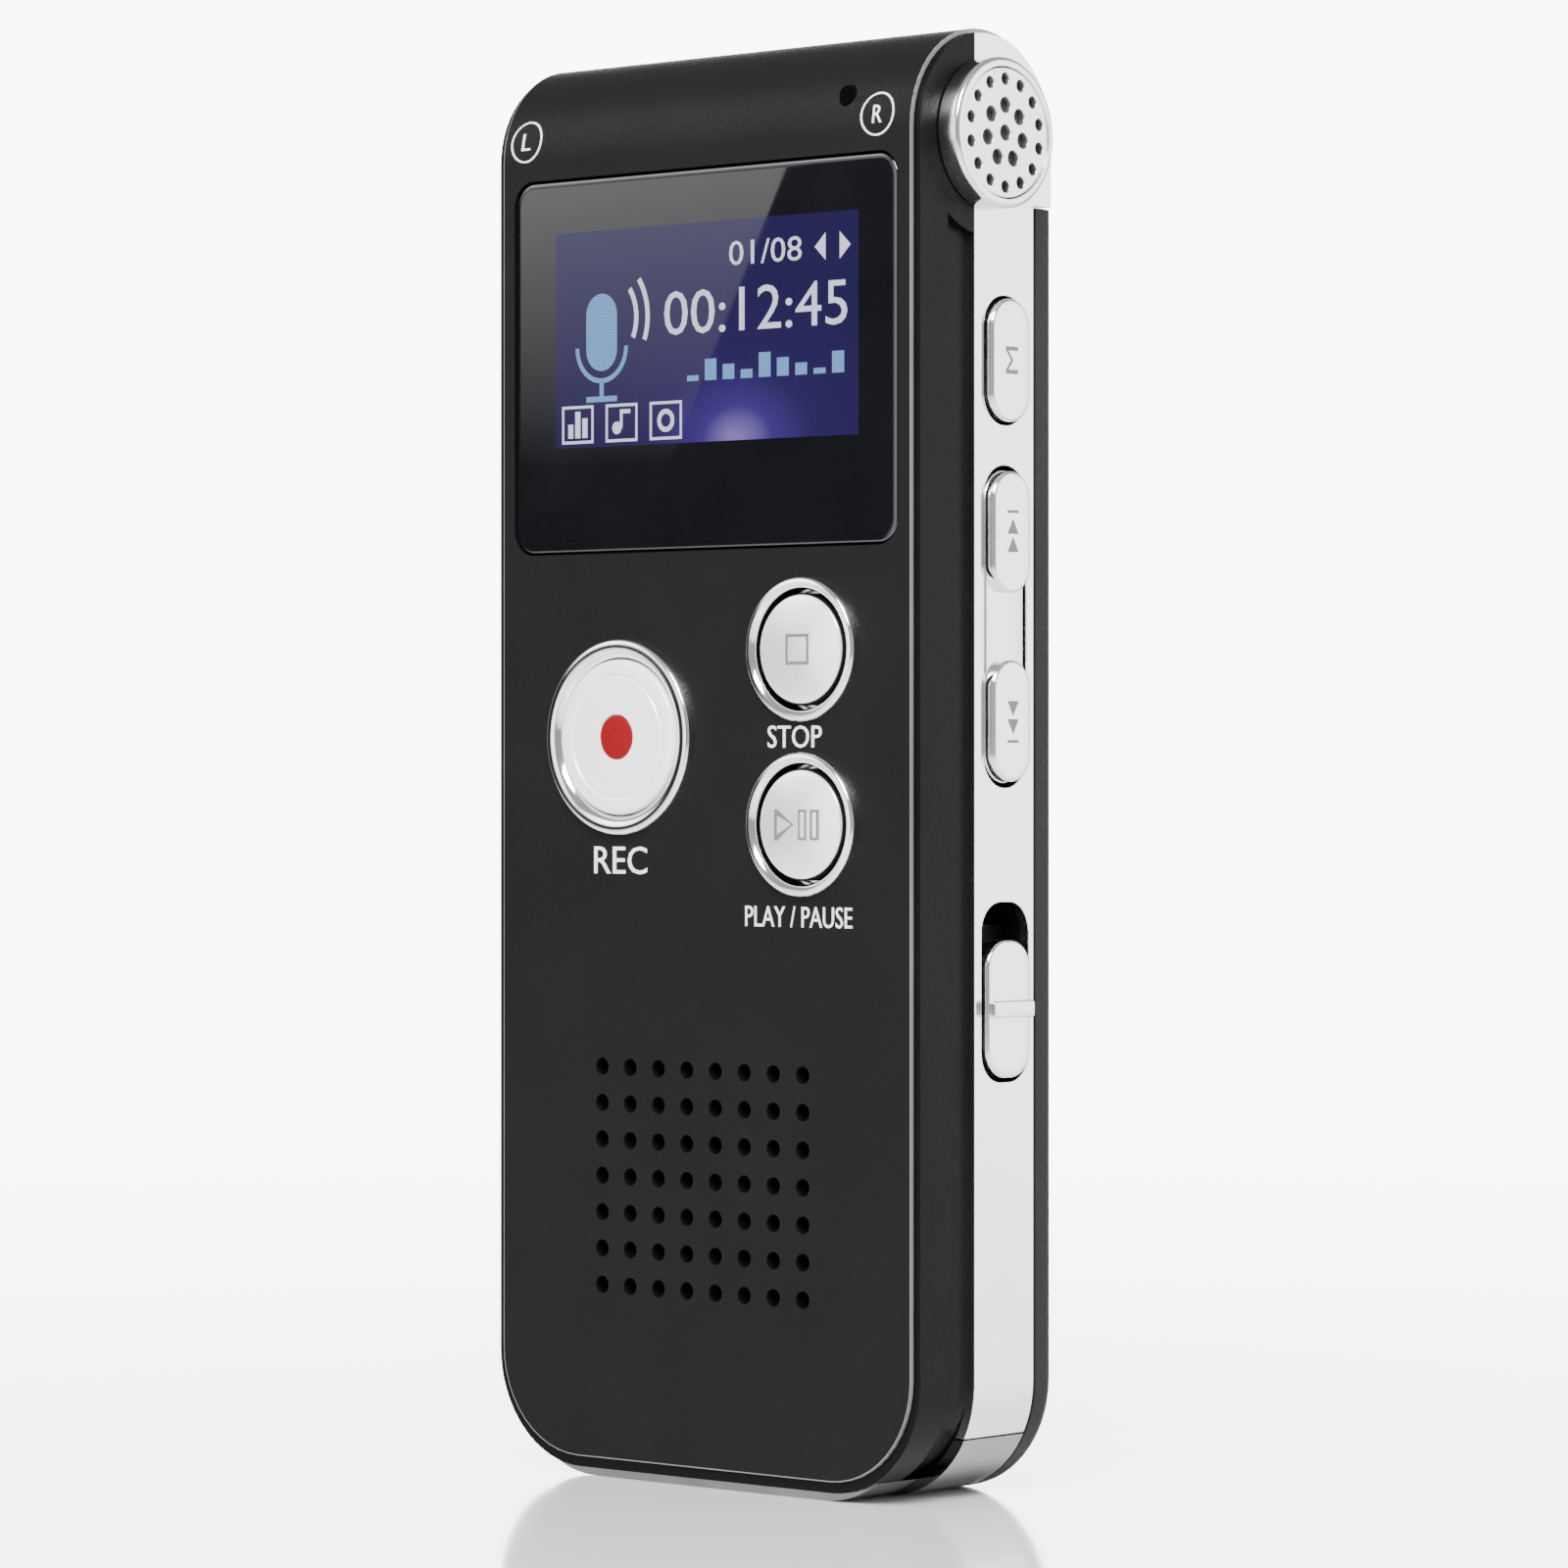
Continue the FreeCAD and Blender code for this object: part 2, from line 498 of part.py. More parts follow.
def front_button(name, x, z, radius, ring):
    bezel = new_body(name + "_bezel")
    bore = "%s + key_gap" % radius
    add_round(bezel, "Y", ("-ring_front", "-plate_front"), ((x, z), ring), ((x, z), bore))
    neck = add_round(bezel, "Y", ("-plate_front", "-wall_front"),
                     ((x, z), "%s - ring_lip - neck_gap" % ring), ((x, z), bore))
    document.recompute()
    edges = ["Edge%d" % (i + 1) for i, edge in enumerate(neck.Shape.Edges)
             if abs(edge.BoundBox.YMax + number_of("ring_front")) < SAME
             and isinstance(edge.Curve, Part.Circle) and abs(edge.Curve.Radius - number_of(ring)) < SAME]
    bevel = bezel.newObject("PartDesign::Chamfer", name + "_bevel")
    bevel.Base = (neck, edges)
    bind(bevel, "Size", "ring_bevel")
    bezel.Tip = bevel
    button = new_body(name + "_button")
    add_round(button, "Y", ("-key_front", "-flange_front"), ((x, z), radius))
    add_round(button, "Y", ("-flange_front", "-flange_back"), ((x, z), "%s + flange_step" % radius))
    add_round(button, "Y", ("-flange_back", "-stem_back"), ((x, z), "stem_radius"))
    if name == "rec":
        cut_round(button, "Y", ("-key_front", "-mark_floor"), ((x, z), "rec_mark"))
        keep(part_rod("rec_dot", "Y", ("-mark_front", "-mark_floor"), (x, z), "rec_mark"), "rec_dot")


def front_switches():
    switches = []
    for name, (x, z, radius, ring) in BUTTONS.items():
        box = part_box(name + "_switch_case", ("%s - switch_half" % x, "%s + switch_half" % x),
                       ("-switch_front", "-board_front"), ("%s - switch_half" % z, "%s + switch_half" % z))
        reach = ("-plunger_front", "-switch_front")
        plunger = part_rod(name + "_plunger", "Y", reach, (x, z), "stem_radius")
        switches.append(part_join(name + "_switch", [box, plunger]))
    keep(part_group("front_switches", switches), "front_switches")


# ---------- side controls ----------

def side_button(label, side, z):
    body = new_body(label)
    face_y = ("side_y - key_half", "side_y + key_half")
    face_z = ("%s - side_key_half" % z, "%s + side_key_half" % z)
    add(body, "X", span(side, "side_flange_out", "side_key_out"), face_y, face_z, "key_corner")
    rim_y = ("side_y - key_half - rim_overhang", "side_y + key_half + rim_overhang")
    rim_z = ("%s - side_key_half - rim_overhang" % z, "%s + side_key_half + rim_overhang" % z)
    add(body, "X", span(side, "side_flange_in", "side_flange_out"), rim_y, rim_z)
    add_round(body, "X", span(side, "side_stem_in", "side_flange_in"), (("side_y", z), "plunger_radius"))


def rocker(label, side, z):
    """Two raised pads with a saddle between them, on one bar that tips about a pin along Y."""
    body = new_body(label)
    across = ("side_y - key_half", "side_y + key_half")
    whole = ("%s - rocker_half" % z, "%s + rocker_half" % z)
    add(body, "X", span(side, "rocker_in", "rocker_out"), across, whole, "key_corner")
    saddle = ("%s - saddle_half" % z, "%s + saddle_half" % z)
    cut(body, "X", span(side, "rocker_saddle", "rocker_out"), across, saddle)
    for way in (1, -1):
        tip = "%s + %d * rocker_reach" % (z, way)
        add_round(body, "X", span(side, "rocker_tip", "rocker_in"), (("side_y", tip), "plunger_radius"))
    cut_round(body, "Y", across, ((mirrored(side, "pin_x"), z), "pin_bore"))
    pin = part_rod(label + "_rod", "Y", ("side_y - pin_half", "side_y + pin_half"),
                   (mirrored(side, "pin_x"), z), "pin_radius")
    keep(pin, label.replace("rocker", "pin"))


def side_switches(label, side, heights):
    switches = []
    for index, z in enumerate(heights):
        name = "%s_%d" % (label, index)
        heights_z = ("%s - side_switch_half" % z, "%s + side_switch_half" % z)
        box = part_box(name + "_case", span(side, "side_switch_in", "side_switch_out"),
                       ("board_back", "side_switch_back"), heights_z)
        plunger = part_rod(name + "_plunger", "X", span(side, "side_switch_out", "plunger_out"),
                           ("side_y", z), "plunger_radius")
        switches.append(part_join(name, [box, plunger]))
    keep(part_group(label, switches), label)


def hold_slide():
    slider = new_body("hold_slider")
    face_y = ("side_y - slider_half", "side_y + slider_half")
    face_z = ("slider_base", "slider_top")
    add(slider, "X", ("carriage_out", "slider_out"), face_y, face_z, "key_corner")
    add(slider, "X", ("slider_out", "ridge_out"), face_y, ("ridge_base", "ridge_top"))
    plate = part_box("carriage_plate", ("carriage_in", "carriage_out"),
                     ("side_y - carriage_half", "side_y + carriage_half"), ("carriage_base", "carriage_top"))
    lever = part_box("carriage_lever", ("lever_in", "carriage_in"), ("lever_front", "lever_back"),
                     ("lever_base", "lever_top"))
    keep(part_join("hold_carriage", [plate, lever]), "hold_carriage")
    case = part_box("hold_switch_case", ("side_switch_in", "side_switch_out"),
                    ("board_back", "side_switch_back"), ("slot_base", "slot_top"))
    track = part_box("hold_switch_track", ("hold_floor", "side_switch_out"), ("hold_front", "hold_back"),
                     ("hold_base", "hold_top"))
    keep(part_cut("hold_switch", case, track), "hold_switch")


# ---------- microphones ----------

def microphone(side, name):
    """A chrome cup with a perforated face, a rubber boot and an electret capsule, built facing +X."""
    pieces = []
    centre = ("0", "0")
    cap = new_body("mic_cap_" + name)
    add_round(cap, "X", ("half_width", "half_width + mic_floor"),
              (centre, "mic_radius"), (centre, "capsule_radius"))
    add_round(cap, "X", ("half_width + mic_floor", "half_width + mic_proud"),
              (centre, "mic_radius"), (centre, "mic_bore"))
    pieces.append(cap)
    grille = new_body("mic_grille_" + name)
    face = ("half_width + mic_proud - grille_thick", "half_width + mic_proud - grille_recess")
    add_round(grille, "X", face, (centre, "grille_radius"))
    cut_round(grille, "X", face, (centre, "port_radius"))
    rings = (("inner_ports", "port_radius", INNER_COUNT), ("outer_ports", "small_port", OUTER_COUNT))
    for reach, size, count in rings:
        port = cut_round(grille, "X", face, (("0", reach), size))
        ring = grille.newObject("PartDesign::PolarPattern", grille.Name + "_ring")
        ring.Originals = [port]
        ring.Axis = (own_axis(grille, "X_Axis"), [""])
        ring.Angle = FULL_TURN
        ring.Occurrences = count
        grille.Tip = ring
    pieces.append(grille)
    screen = new_body("mic_screen_" + name)
    add_round(screen, "X", ("half_width + mic_floor", "half_width + mic_proud - grille_thick"),
              (centre, "grille_radius"))
    pieces.append(screen)
    boot = new_body("mic_boot_" + name)
    add_round(boot, "X", ("boot_in", "half_width"), (centre, "boot_radius - seam_gap / 2"),
              (centre, "capsule_radius"))
    pieces.append(boot)
    capsule = new_body("mic_capsule_" + name)
    add_round(capsule, "X", ("capsule_in", "capsule_out"), (centre, "capsule_radius - seam_gap / 2"))
    pieces.append(capsule)
    for piece in pieces:
        yaw = 0 if side > 0 else HALF_TURN
        piece.Placement = FreeCAD.Placement(FreeCAD.Vector(), FreeCAD.Rotation(yaw, 0, 0))
        bind(piece, "Placement.Base.z", "roll_z")


def mic_wires():
    wires = []
    for side in (1, -1):
        place = (mirrored(side, "wire_x"), "-seam_gap")
        wires.append(part_rod("mic_wire", "Z", ("board_top", "wire_top"), place, "wire_radius"))
    keep(part_group("mic_wires", wires), "mic_wires")


# ---------- loudspeaker ----------

def loudspeaker():
    wide = "%d * port_pitch_x / 2" % PORT_COLUMNS
    tall = "%d * port_pitch_z / 2" % PORT_ROWS
    mesh = part_box("speaker_mesh", (minus(wide), wide), ("-wall_front", "-mesh_back"),
                    ("speaker_z - %s" % tall, "speaker_z + %s" % tall))
    keep(mesh, "speaker_mesh")
    centre = ("0", "speaker_z")
    gasket = new_body("speaker_gasket")
    add_round(gasket, "Y", ("-mesh_back", "-gasket_back"),
              (centre, "speaker_radius"), (centre, "cone_radius"))
    basket = new_body("speaker_basket")
    add_round(basket, "Y", ("-gasket_back", "-basket_back"), (centre, "speaker_radius"))
    cut_round(basket, "Y", ("-gasket_back", "-basket_floor"), (centre, "basket_bore"))
    cone = new_body("speaker_cone")
    add_round(cone, "Y", ("-cone_front", "-cone_back"), (centre, "cone_radius"))
    cut_round(cone, "Y", ("-cone_front", "-cone_middle"), (centre, "cone_bowl"))
    add_round(cone, "Y", ("-cone_front", "-cone_middle"), (centre, "cone_cap"))
    magnet = part_rod("speaker_magnet", "Y", ("-basket_back", "-trim_front"), centre, "magnet_radius")
    keep(magnet, "speaker_magnet")


# ---------- board, power and sockets ----------

def main_board():
    board = new_body("main_board")
    across = ("-board_half", "board_half")
    add(board, "Y", ("-board_front", "board_back"), across, ("board_base", "board_top"), "board_corner")
    holes = [((mirrored(side, "screw_x"), height), "pilot_radius + fit") for side, height in SCREWS]
    cut_round(board, "Y", ("-board_front", "board_back"), *holes)


def chip(name, across, thick, up):
    keep(part_box(name, across, ("board_back", "board_back + %s" % thick), up), name)


def chips():
    across = ("chip_left", "processor_right")
    chip("processor_chip", across, "processor_thick", ("view_base", "processor_top"))
    chip("memory_chip", ("chip_left", "memory_right"), "memory_thick", ("memory_base", "memory_top"))
    chip("clock_crystal", ("crystal_left", "crystal_right"), "crystal_thick", ("view_base", "crystal_top"))


def battery():
    cell = new_body("battery_cell")
    depth = ("cell_front", "cell_back")
    add(cell, "Z", ("cell_base", "cell_top"), ("-cell_half", "cell_half"), depth, "cell_corner")
    tape = part_box("battery_tape", ("-tape_half", "tape_half"), ("cell_back", "wall_back"),
                    ("tape_base", "tape_top"))
    keep(tape, "battery_tape")
    plug = part_box("battery_plug", ("plug_left", "plug_right"), ("board_back", "plug_back"),
                    ("plug_base", "plug_top"))
    keep(plug, "battery_plug")
    leads = []
    for x in ("red_lead", "black_lead"):
        leads.append(part_rod("battery_lead", "Z", ("plug_top", "cell_base"), (x, "lead_y"), "lead_radius"))
    keep(part_group("battery_leads", leads), "battery_leads")


def usb_socket():
    body = new_body("usb_socket")
    across = ("-usb_half", "usb_half")
    add(body, "Z", ("usb_mouth", "usb_top"), across, ("usb_front", "usb_back"), "usb_corner")
    inner_x = ("-usb_half + usb_wall", "usb_half - usb_wall")
    inner_y = ("usb_front + usb_wall", "usb_back - usb_wall")
    cut(body, "Z", ("usb_mouth", "usb_floor"), inner_x, inner_y, "usb_inner_corner")
    tongue_y = ("tongue_front", "tongue_back")
    add(body, "Z", ("tongue_base", "usb_floor"), ("-tongue_half", "tongue_half"), tongue_y)


def jack(label, z):
    body = new_body(label)
    case_x = ("-cavity_half", "-cavity_half + jack_depth")
    case_z = ("%s - jack_half" % z, "%s + jack_half" % z)
    add(body, "X", case_x, ("board_back", "jack_y + jack_nose"), case_z)
    centre = ("jack_y", z)
    add_round(body, "X", ("-jack_face", "-cavity_half"), (centre, "jack_nose"))
    cut_round(body, "X", ("-jack_face", "-jack_face + jack_depth"), (centre, "jack_bore"))


def indicator_lens():
    lens = part_rod("indicator_lens", "Y", ("-lens_front", "-lens_back"), ("led_x", "led_z"),
                    "led_radius - seam_gap / 2")
    keep(lens, "indicator_lens")


def housing_screws():
    screws = []
    for side, height in SCREWS:
        centre = (mirrored(side, "screw_x"), height)
        head = part_rod("screw_head", "Y", ("head_seat", "head_back"), centre, "head_radius")
        shank = part_rod("screw_shank", "Y", ("-shank_front", "head_seat"), centre, "shank_radius")
        recess = part_rod("screw_recess", "Y", ("recess_floor", "head_back"), centre, "recess_radius")
        screws.append(part_cut("screw", part_join("screw_blank", [head, shank]), recess))
    keep(part_group("housing_screws", screws), "housing_screws")


front_plate()
front_housing()
rear_housing()
mid_frame()
side_trim("side_trim_right", 1)
side_trim("side_trim_left", -1)
bottom_trim()
display()
for button_name, (x, z, radius, ring) in BUTTONS.items():
    front_button(button_name, x, z, radius, ring)
front_switches()
side_button("menu_button", 1, "menu_z")
side_button("ab_button", -1, "ab_z")
rocker("track_rocker", 1, "track_z")
rocker("volume_rocker", -1, "volume_z")
side_switches("right_switches", 1, ("menu_z", "track_z + rocker_reach", "track_z - rocker_reach"))
side_switches("left_switches", -1, ("ab_z", "volume_z + rocker_reach", "volume_z - rocker_reach"))
hold_slide()
microphone(1, "right")
microphone(-1, "left")
mic_wires()
loudspeaker()
main_board()
chips()
battery()
usb_socket()
jack("earphone_jack", "ear_z")
jack("line_jack", "line_z")
indicator_lens()
housing_screws()
document.recompute()

for item in document.Objects:
    if "Invalid" in item.State or "Error" in item.State:
        raise RuntimeError("%s did not build: %s" % (item.Label, item.State))
os.makedirs("parts", exist_ok=True)
for node in NODES:
    if node.Shape.isNull() or not node.Shape.isValid():
        raise RuntimeError("%s has no valid shape" % node.Label)
    node.Shape.exportStep("parts/%s.step" % node.Label)
print(len(NODES), "sub-parts written")
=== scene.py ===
import bmesh
import bpy
import json
import math
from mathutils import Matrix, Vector


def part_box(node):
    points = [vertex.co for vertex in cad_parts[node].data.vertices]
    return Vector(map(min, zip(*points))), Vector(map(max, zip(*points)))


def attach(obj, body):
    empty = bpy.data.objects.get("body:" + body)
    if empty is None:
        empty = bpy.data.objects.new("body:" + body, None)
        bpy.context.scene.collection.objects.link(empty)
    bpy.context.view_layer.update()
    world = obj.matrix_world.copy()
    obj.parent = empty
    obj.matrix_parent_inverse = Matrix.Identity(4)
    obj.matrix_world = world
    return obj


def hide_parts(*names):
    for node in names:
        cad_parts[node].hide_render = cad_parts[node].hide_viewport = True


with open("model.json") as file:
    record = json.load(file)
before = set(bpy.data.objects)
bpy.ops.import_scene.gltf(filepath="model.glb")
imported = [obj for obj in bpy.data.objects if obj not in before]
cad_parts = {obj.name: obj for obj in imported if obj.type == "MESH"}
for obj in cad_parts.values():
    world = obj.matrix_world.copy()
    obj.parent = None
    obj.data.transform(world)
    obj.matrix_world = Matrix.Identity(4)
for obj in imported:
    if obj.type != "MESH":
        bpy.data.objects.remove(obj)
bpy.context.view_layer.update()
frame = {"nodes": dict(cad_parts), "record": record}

MM = 0.001
PIXEL = 0.22 * MM                     # pitch of the display's pixels
ROOM = 0.45                          # how bright the studio is where no soft wall adds to it
SOFT_WALLS = (                       # direction, cosines between which it brightens, how bright it is
    ((-0.669, 0.743, 0.0), (0.9, 0.975), 9.0),
    ((0.80, 0.60, 0.05), (0.72, 0.95), 3.0),
    ((-0.669, -0.591, 0.45), (0.935, 0.99), 5.0),
    ((-0.31, -0.95, 0.04), (0.927, 0.97), 2.6),
    ((-0.75, -0.66, -0.1), (0.8, 0.95), -0.42),
)
NODES = frame["nodes"]


# ---------- node helpers ----------

def add_node(tree, kind, **settings):
    node = tree.nodes.new(kind)
    for name, value in settings.items():
        setattr(node, name, value)
    return node


def blank(name):
    """A material with a Principled shader, and object coordinates to drive its textures."""
    material = bpy.data.materials.new(name)
    material.use_nodes = True
    tree = material.node_tree
    shader = tree.nodes["Principled BSDF"]
    place = add_node(tree, "ShaderNodeTexCoord")
    return material, tree, shader, place.outputs["Object"]


def noise(tree, place, size, detail=3.0, stretch=(1, 1, 1)):
    """Noise whose features are about size metres across, stretched along an axis if asked."""
    mapping = add_node(tree, "ShaderNodeMapping")
    mapping.inputs["Scale"].default_value = stretch
    tree.links.new(place, mapping.inputs["Vector"])
    texture = add_node(tree, "ShaderNodeTexNoise")
    texture.inputs["Scale"].default_value = 1.0 / size
    texture.inputs["Detail"].default_value = detail
    tree.links.new(mapping.outputs["Vector"], texture.inputs["Vector"])
    return texture.outputs["Fac"]


def between(tree, factor, low, high, start=0.3, end=0.7):
    """A value that runs from low to high as the factor runs from start to end."""
    spread = add_node(tree, "ShaderNodeMapRange")
    spread.inputs["From Min"].default_value = start
    spread.inputs["From Max"].default_value = end
    spread.inputs["To Min"].default_value = low
    spread.inputs["To Max"].default_value = high
    tree.links.new(factor, spread.inputs["Value"])
    return spread.outputs["Result"]


def ramp(tree, factor, colours):
    """A blend from the first colour to the second over the middle of the factor's range."""
    node = add_node(tree, "ShaderNodeValToRGB")
    stops = node.color_ramp.elements
    stops[0].position = 0.3
    stops[1].position = 0.7
    stops[0].color = (*colours[0], 1)
    stops[1].color = (*colours[1], 1)
    tree.links.new(factor, node.inputs["Fac"])
    return node.outputs["Color"]


def bump(tree, shader, height, distance, strength=1.0):
    """Relief of the given depth, in shading only."""
    node = add_node(tree, "ShaderNodeBump")
    node.inputs["Distance"].default_value = distance
    node.inputs["Strength"].default_value = strength
    tree.links.new(height, node.inputs["Height"])
    tree.links.new(node.outputs["Normal"], shader.inputs["Normal"])


# ---------- materials ----------

def moulded(name, dark, light, rough, grain, depth, shine=0.5):
    """Moulded or painted plastic: a fine spark-eroded grain with slow changes of tone and gloss."""
    material, tree, shader, place = blank(name)
    fine = noise(tree, place, grain, 2.0)
    slow = noise(tree, place, 9 * MM, 4.0)
    tree.links.new(ramp(tree, slow, (dark, light)), shader.inputs["Base Color"])
    tree.links.new(between(tree, fine, rough[0], rough[1]), shader.inputs["Roughness"])
    shader.inputs["Specular IOR Level"].default_value = shine
    bump(tree, shader, fine, depth)
    return material


def plated(name, dark, light, rough, stretch, depth):
    """Plated metal: a bright coat with fine polishing marks along one direction and faint smudges."""
    material, tree, shader, place = blank(name)
    shader.inputs["Metallic"].default_value = 1.0
    marks = noise(tree, place, 0.35 * MM, 2.0, stretch)
    smudge = noise(tree, place, 6 * MM, 3.0)
    tree.links.new(ramp(tree, smudge, (dark, light)), shader.inputs["Base Color"])
    tree.links.new(between(tree, smudge, rough[0], rough[1]), shader.inputs["Roughness"])
    bump(tree, shader, marks, depth, 0.5)
    return material


def spun(name, dark, light, rough, centre, metal):
    """A satin plated key turned on a lathe: rings about its own axis."""
    material, tree, shader, place = blank(name)
    shader.inputs["Metallic"].default_value = metal
    shift = add_node(tree, "ShaderNodeMapping")
    shift.inputs["Location"].default_value = (-centre[0], 0, -centre[1])
    shift.inputs["Scale"].default_value = (1, 0, 1)
    tree.links.new(place, shift.inputs["Vector"])
    reach = add_node(tree, "ShaderNodeVectorMath", operation="LENGTH")
    tree.links.new(shift.outputs["Vector"], reach.inputs[0])
    rings = add_node(tree, "ShaderNodeTexNoise", noise_dimensions="1D")
    rings.inputs["Scale"].default_value = 1.0 / (0.12 * MM)
    rings.inputs["Detail"].default_value = 2.0
    tree.links.new(reach.outputs["Value"], rings.inputs["W"])
    slow = noise(tree, place, 5 * MM, 2.0)
    tree.links.new(ramp(tree, slow, (dark, light)), shader.inputs["Base Color"])
    tree.links.new(between(tree, rings.outputs["Fac"], rough[0], rough[1]), shader.inputs["Roughness"])
    bump(tree, shader, rings.outputs["Fac"], 0.002 * MM, 0.6)
    return material


def glossy(name, dark, light, rough):
    """Printed acrylic: deep gloss with a faint haze of handling."""
    material, tree, shader, place = blank(name)
    haze = noise(tree, place, 8 * MM, 5.0)
    tree.links.new(ramp(tree, haze, (dark, light)), shader.inputs["Base Color"])
    tree.links.new(between(tree, haze, rough[0], rough[1]), shader.inputs["Roughness"])
    shader.inputs["Coat Weight"].default_value = 0.6
    shader.inputs["Coat Roughness"].default_value = 0.01
    bump(tree, shader, noise(tree, place, 30 * MM, 1.0), 0.001 * MM)
    return material


def printed(name, dark, light):
    """Pad-printed ink: slightly uneven and matte."""
    material, tree, shader, place = blank(name)
    ink = noise(tree, place, 0.12 * MM, 3.0)
    tree.links.new(ramp(tree, ink, (dark, light)), shader.inputs["Base Color"])
    tree.links.new(between(tree, ink, 0.45, 0.65), shader.inputs["Roughness"])
    bump(tree, shader, ink, 0.004 * MM)
    return material


def glowing(name, dim, bright, strength):
    """A lit part of the picture, crossed by the faint grid of the display's pixels."""
    material, tree, shader, place = blank(name)
    grid = add_node(tree, "ShaderNodeTexBrick")
    grid.offset = 0.0
    grid.inputs["Scale"].default_value = 1.0
    grid.inputs["Brick Width"].default_value = PIXEL
    grid.inputs["Row Height"].default_value = PIXEL
    grid.inputs["Mortar Size"].default_value = PIXEL * 0.06
    grid.inputs["Mortar Smooth"].default_value = 0.6
    grid.inputs["Color1"].default_value = (*bright, 1)
    grid.inputs["Color2"].default_value = (*bright, 1)
    grid.inputs["Mortar"].default_value = (*dim, 1)
    turn = add_node(tree, "ShaderNodeMapping")
    turn.inputs["Rotation"].default_value = (-math.pi / 2, 0, 0)
    tree.links.new(place, turn.inputs["Vector"])
    tree.links.new(turn.outputs["Vector"], grid.inputs["Vector"])
    tree.links.new(grid.outputs["Color"], shader.inputs["Emission Color"])
    shader.inputs["Emission Strength"].default_value = strength
    shader.inputs["Base Color"].default_value = (0.01, 0.01, 0.02, 1)
    shader.inputs["Roughness"].default_value = 0.25
    return material


def backlight(name, lamp, reach):
    """The violet backlight, brightest at its lamp and dark one reach away across and up."""
    material, tree, shader, place = blank(name)
    shift = add_node(tree, "ShaderNodeMapping")
    shift.inputs["Location"].default_value = (-lamp[0] / reach[0], 0, -lamp[1] / reach[1])
    shift.inputs["Scale"].default_value = (1 / reach[0], 0, 1 / reach[1])
    tree.links.new(place, shift.inputs["Vector"])
    fade = add_node(tree, "ShaderNodeVectorMath", operation="LENGTH")
    tree.links.new(shift.outputs["Vector"], fade.inputs[0])
    uneven = add_node(tree, "ShaderNodeMath", operation="MULTIPLY_ADD")
    uneven.inputs[1].default_value = 0.12
    tree.links.new(noise(tree, place, 7 * MM, 2.0), uneven.inputs[0])
    tree.links.new(fade.outputs["Value"], uneven.inputs[2])
    glow = add_node(tree, "ShaderNodeValToRGB")
    stops = glow.color_ramp.elements
    stops[0].position = 0.08
    stops[0].color = (0.5, 0.34, 1.0, 1)
    stops[1].position = 1.0
    stops[1].color = (0.017, 0.007, 0.07, 1)
    for position, colour in ((0.25, (0.1, 0.05, 0.4, 1)), (0.5, (0.03, 0.012, 0.12, 1))):
        stops.new(position).color = colour
    tree.links.new(uneven.outputs["Value"], glow.inputs["Fac"])
    tree.links.new(glow.outputs["Color"], shader.inputs["Emission Color"])
    shader.inputs["Emission Strength"].default_value = 0.5
    shader.inputs["Base Color"].default_value = (0.006, 0.005, 0.02, 1)
    shader.inputs["Roughness"].default_value = 0.015
    return material


def middle(node):
    low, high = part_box(node)
    return (Vector(low) + Vector(high)) / 2


REC = middle("rec_dot")
STOP = middle("stop_bezel")
PLAY = middle("play_bezel")

